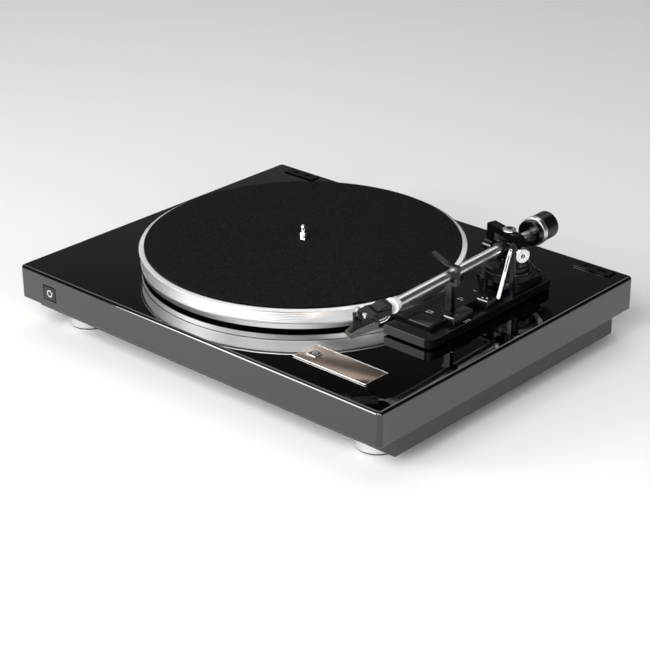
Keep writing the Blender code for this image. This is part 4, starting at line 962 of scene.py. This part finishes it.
def make_name_plate():
    """A blank bronze plate in a thin silver frame."""
    low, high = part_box("name_plate")
    plate = soft_block("name_plate_face", (low[0] + 0.9 * MM, low[1] + 0.9 * MM, low[2]),
                       (high[0] - 0.9 * MM, high[1] - 0.9 * MM, high[2] - 0.02 * MM), 0.15 * MM,
                       0.4 * MM)
    add_piece("name_plate_face", plate, "bronze", BASE, ("name_plate",))
    edge = 0.8 * MM
    for name, x0, y0, x1, y1 in (("front", low[0], low[1], high[0], low[1] + edge),
                                 ("rear", low[0], high[1] - edge, high[0], high[1]),
                                 ("left", low[0], low[1] + edge, low[0] + edge, high[1] - edge),
                                 ("right", high[0] - edge, low[1] + edge, high[0], high[1] - edge)):
        border = soft_block("bar", (x0, y0, low[2]), (x1, y1, high[2]), 0.2 * MM)
        add_piece("name_plate_edge_" + name, border, "silver", BASE)


def make_badge(name, lies_flat):
    """A silver badge with a dark field and a plain ring, lying flat or facing the front."""
    low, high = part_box(name)
    spot = middle(name)
    polish(name, "silver", 0.15 * MM)
    rim = 0.9 * MM if lies_flat else 1.1 * MM
    proud = 0.12 * MM
    if lies_flat:
        spot.z = high[2] + 0.02 * MM
        turn = None
        field = soft_block("field", (low[0] + rim, low[1] + rim, high[2] - proud),
                           (high[0] - rim, high[1] - rim, high[2] + proud * 0.5), 0.05 * MM)
    else:
        spot.y = low[1] - 0.02 * MM
        turn = Matrix.Rotation(pi / 2, 4, "X")
        field = soft_block("field", (low[0] + rim, low[1] - proud * 0.5, low[2] + rim),
                           (high[0] - rim, low[1] + proud, high[2] - rim), 0.05 * MM)
    add_piece(name + "_field", field, "gloss", BASE)
    size = 0.24 * min(high[0] - low[0], max(high[1] - low[1], high[2] - low[2]))
    ring = rounded_corner(((size * 0.62, 0), (size * 0.62, 0.12 * MM), (size, 0.12 * MM),
                           (size, 0)), 0.04 * MM)
    add_turned(name + "_ring", ring, 48, "silver", BASE, spot=spot, turn=turn)


# ---------------------------------------------------------------- room
# Each softbox: name, place, aim, width and length in metres, and power in watts.
SOFTBOXES = (("overhead_softbox", (-0.8, 0.8, 2.2), (0.1, -0.1, 0.06), (3.2, 2.6), 28),
             ("front_softbox", (0.8, -1.9, 1.7), (0.7, -0.7, 0), (2.6, 1.0), 72),
             ("right_softbox", (2.1, -0.8, 0.75), (0, 0, 0.06), (0.3, 1.2), 20),
             ("front_left_softbox", (-1.15, -1.75, 0.6), (0, 0, 0.06), (0.7, 1.1), 30),
             ("front_strip", (0.35, -2.0, 0.6), (0, 0, 0.06), (0.12, 1.1), 12))

# Camera: its place in metres, and its angles in degrees.
CAMERA_SPOT = (1.0496, -1.1462, 0.7510)
CAMERA_AZIMUTH = 42.448
CAMERA_ELEVATION = 25.609
CAMERA_ROLL = -0.448
LENS_LENGTH = 102.7
SENSOR_WIDTH = 36


def floor_material():
    """Matt pale paper with the faintest cloud."""
    made, tree, shader, place = finish_tree("Pale paper floor")
    mottle = effect(tree, MOTTLE, Vector=place, Cloud_Size=0.8, Grain_Size=400.0)
    tone = mix_colour(tree, mottle.outputs["Cloud"], (0.8, 0.798, 0.79), (0.82, 0.818, 0.81))
    link(tree, tone, shader.inputs["Base Color"])
    constants(shader, Roughness=0.75, Specular_IOR_Level=0.2)
    return made


def make_floor():
    """The plain floor, which isn't part of the player."""
    shape = bmesh.new()
    bmesh.ops.create_grid(shape, x_segments=8, y_segments=8, size=9.0)
    mesh = finished_mesh("floor", shape)
    floor = bpy.data.objects.new("floor", mesh)
    bpy.context.scene.collection.objects.link(floor)
    mesh.materials.append(floor_material())


def make_surroundings():
    """Dark surroundings with a soft glow low down on the left."""
    world = bpy.data.worlds.new("studio")
    bpy.context.scene.world = world
    world.use_nodes = True
    tree = world.node_tree
    way = tree.nodes.new("ShaderNodeTexCoord").outputs["Generated"]
    height = node(tree, "ShaderNodeSeparateXYZ", Vector=way)
    low_glow = spread(tree, height.outputs["Z"], 0.46, 0.2)
    left_glow = spread(tree, height.outputs["X"], 0.1, -1.0, 0.15, 1.0)
    glow = maths(tree, "MULTIPLY", low_glow, left_glow)
    background = tree.nodes["Background"]
    background.inputs["Color"].default_value = (0.9, 0.92, 0.95, 1)
    link(tree, maths(tree, "ADD", maths(tree, "MULTIPLY", glow, 0.35), 0.02),
         background.inputs["Strength"])


def make_lights():
    """Soft lamps round the player, all of one slightly warm colour."""
    for name, spot, target, (width, length), power in SOFTBOXES:
        lamp = bpy.data.lights.new(name, "AREA")
        lamp.shape = "RECTANGLE"
        lamp.size = width
        lamp.size_y = length
        lamp.energy = power
        lamp.color = (1.0, 0.99, 0.975)
        holder = bpy.data.objects.new(name, lamp)
        bpy.context.scene.collection.objects.link(holder)
        holder.location = spot
        aim = Vector(target) - Vector(spot)
        holder.rotation_euler = aim.to_track_quat("-Z", "Y").to_euler()


def make_camera():
    """The camera, in front of the player's right corner and looking down at it."""
    azimuth = radians(CAMERA_AZIMUTH)
    elevation = radians(CAMERA_ELEVATION)
    roll = radians(CAMERA_ROLL)
    forward = Vector((-sin(azimuth) * cos(elevation), cos(azimuth) * cos(elevation),
                      -sin(elevation)))
    right = Vector((cos(azimuth), sin(azimuth), 0))
    up = right.cross(forward)
    across = right * cos(roll) + up * sin(roll)
    upright = up * cos(roll) - right * sin(roll)
    lens = bpy.data.cameras.new("view")
    lens.sensor_width = SENSOR_WIDTH
    lens.lens = LENS_LENGTH
    lens.clip_start = 0.05
    camera = bpy.data.objects.new("view", lens)
    bpy.context.scene.collection.objects.link(camera)
    facing = Matrix((across, upright, -forward)).transposed().to_4x4()
    camera.matrix_world = Matrix.Translation(CAMERA_SPOT) @ facing
    bpy.context.scene.camera = camera


def main():
    """Set the scene and make every piece."""
    bpy.context.scene.view_settings.view_transform = "Standard"
    make_camera()
    make_floor()
    make_surroundings()
    make_lights()
    make_plinth()
    make_feet()
    make_rim()
    make_mat()
    make_spindle()
    make_drive()
    make_housing()
    make_rest()
    make_arm_base()
    make_gimbal()
    make_tube()
    make_head()
    make_trim()


main()
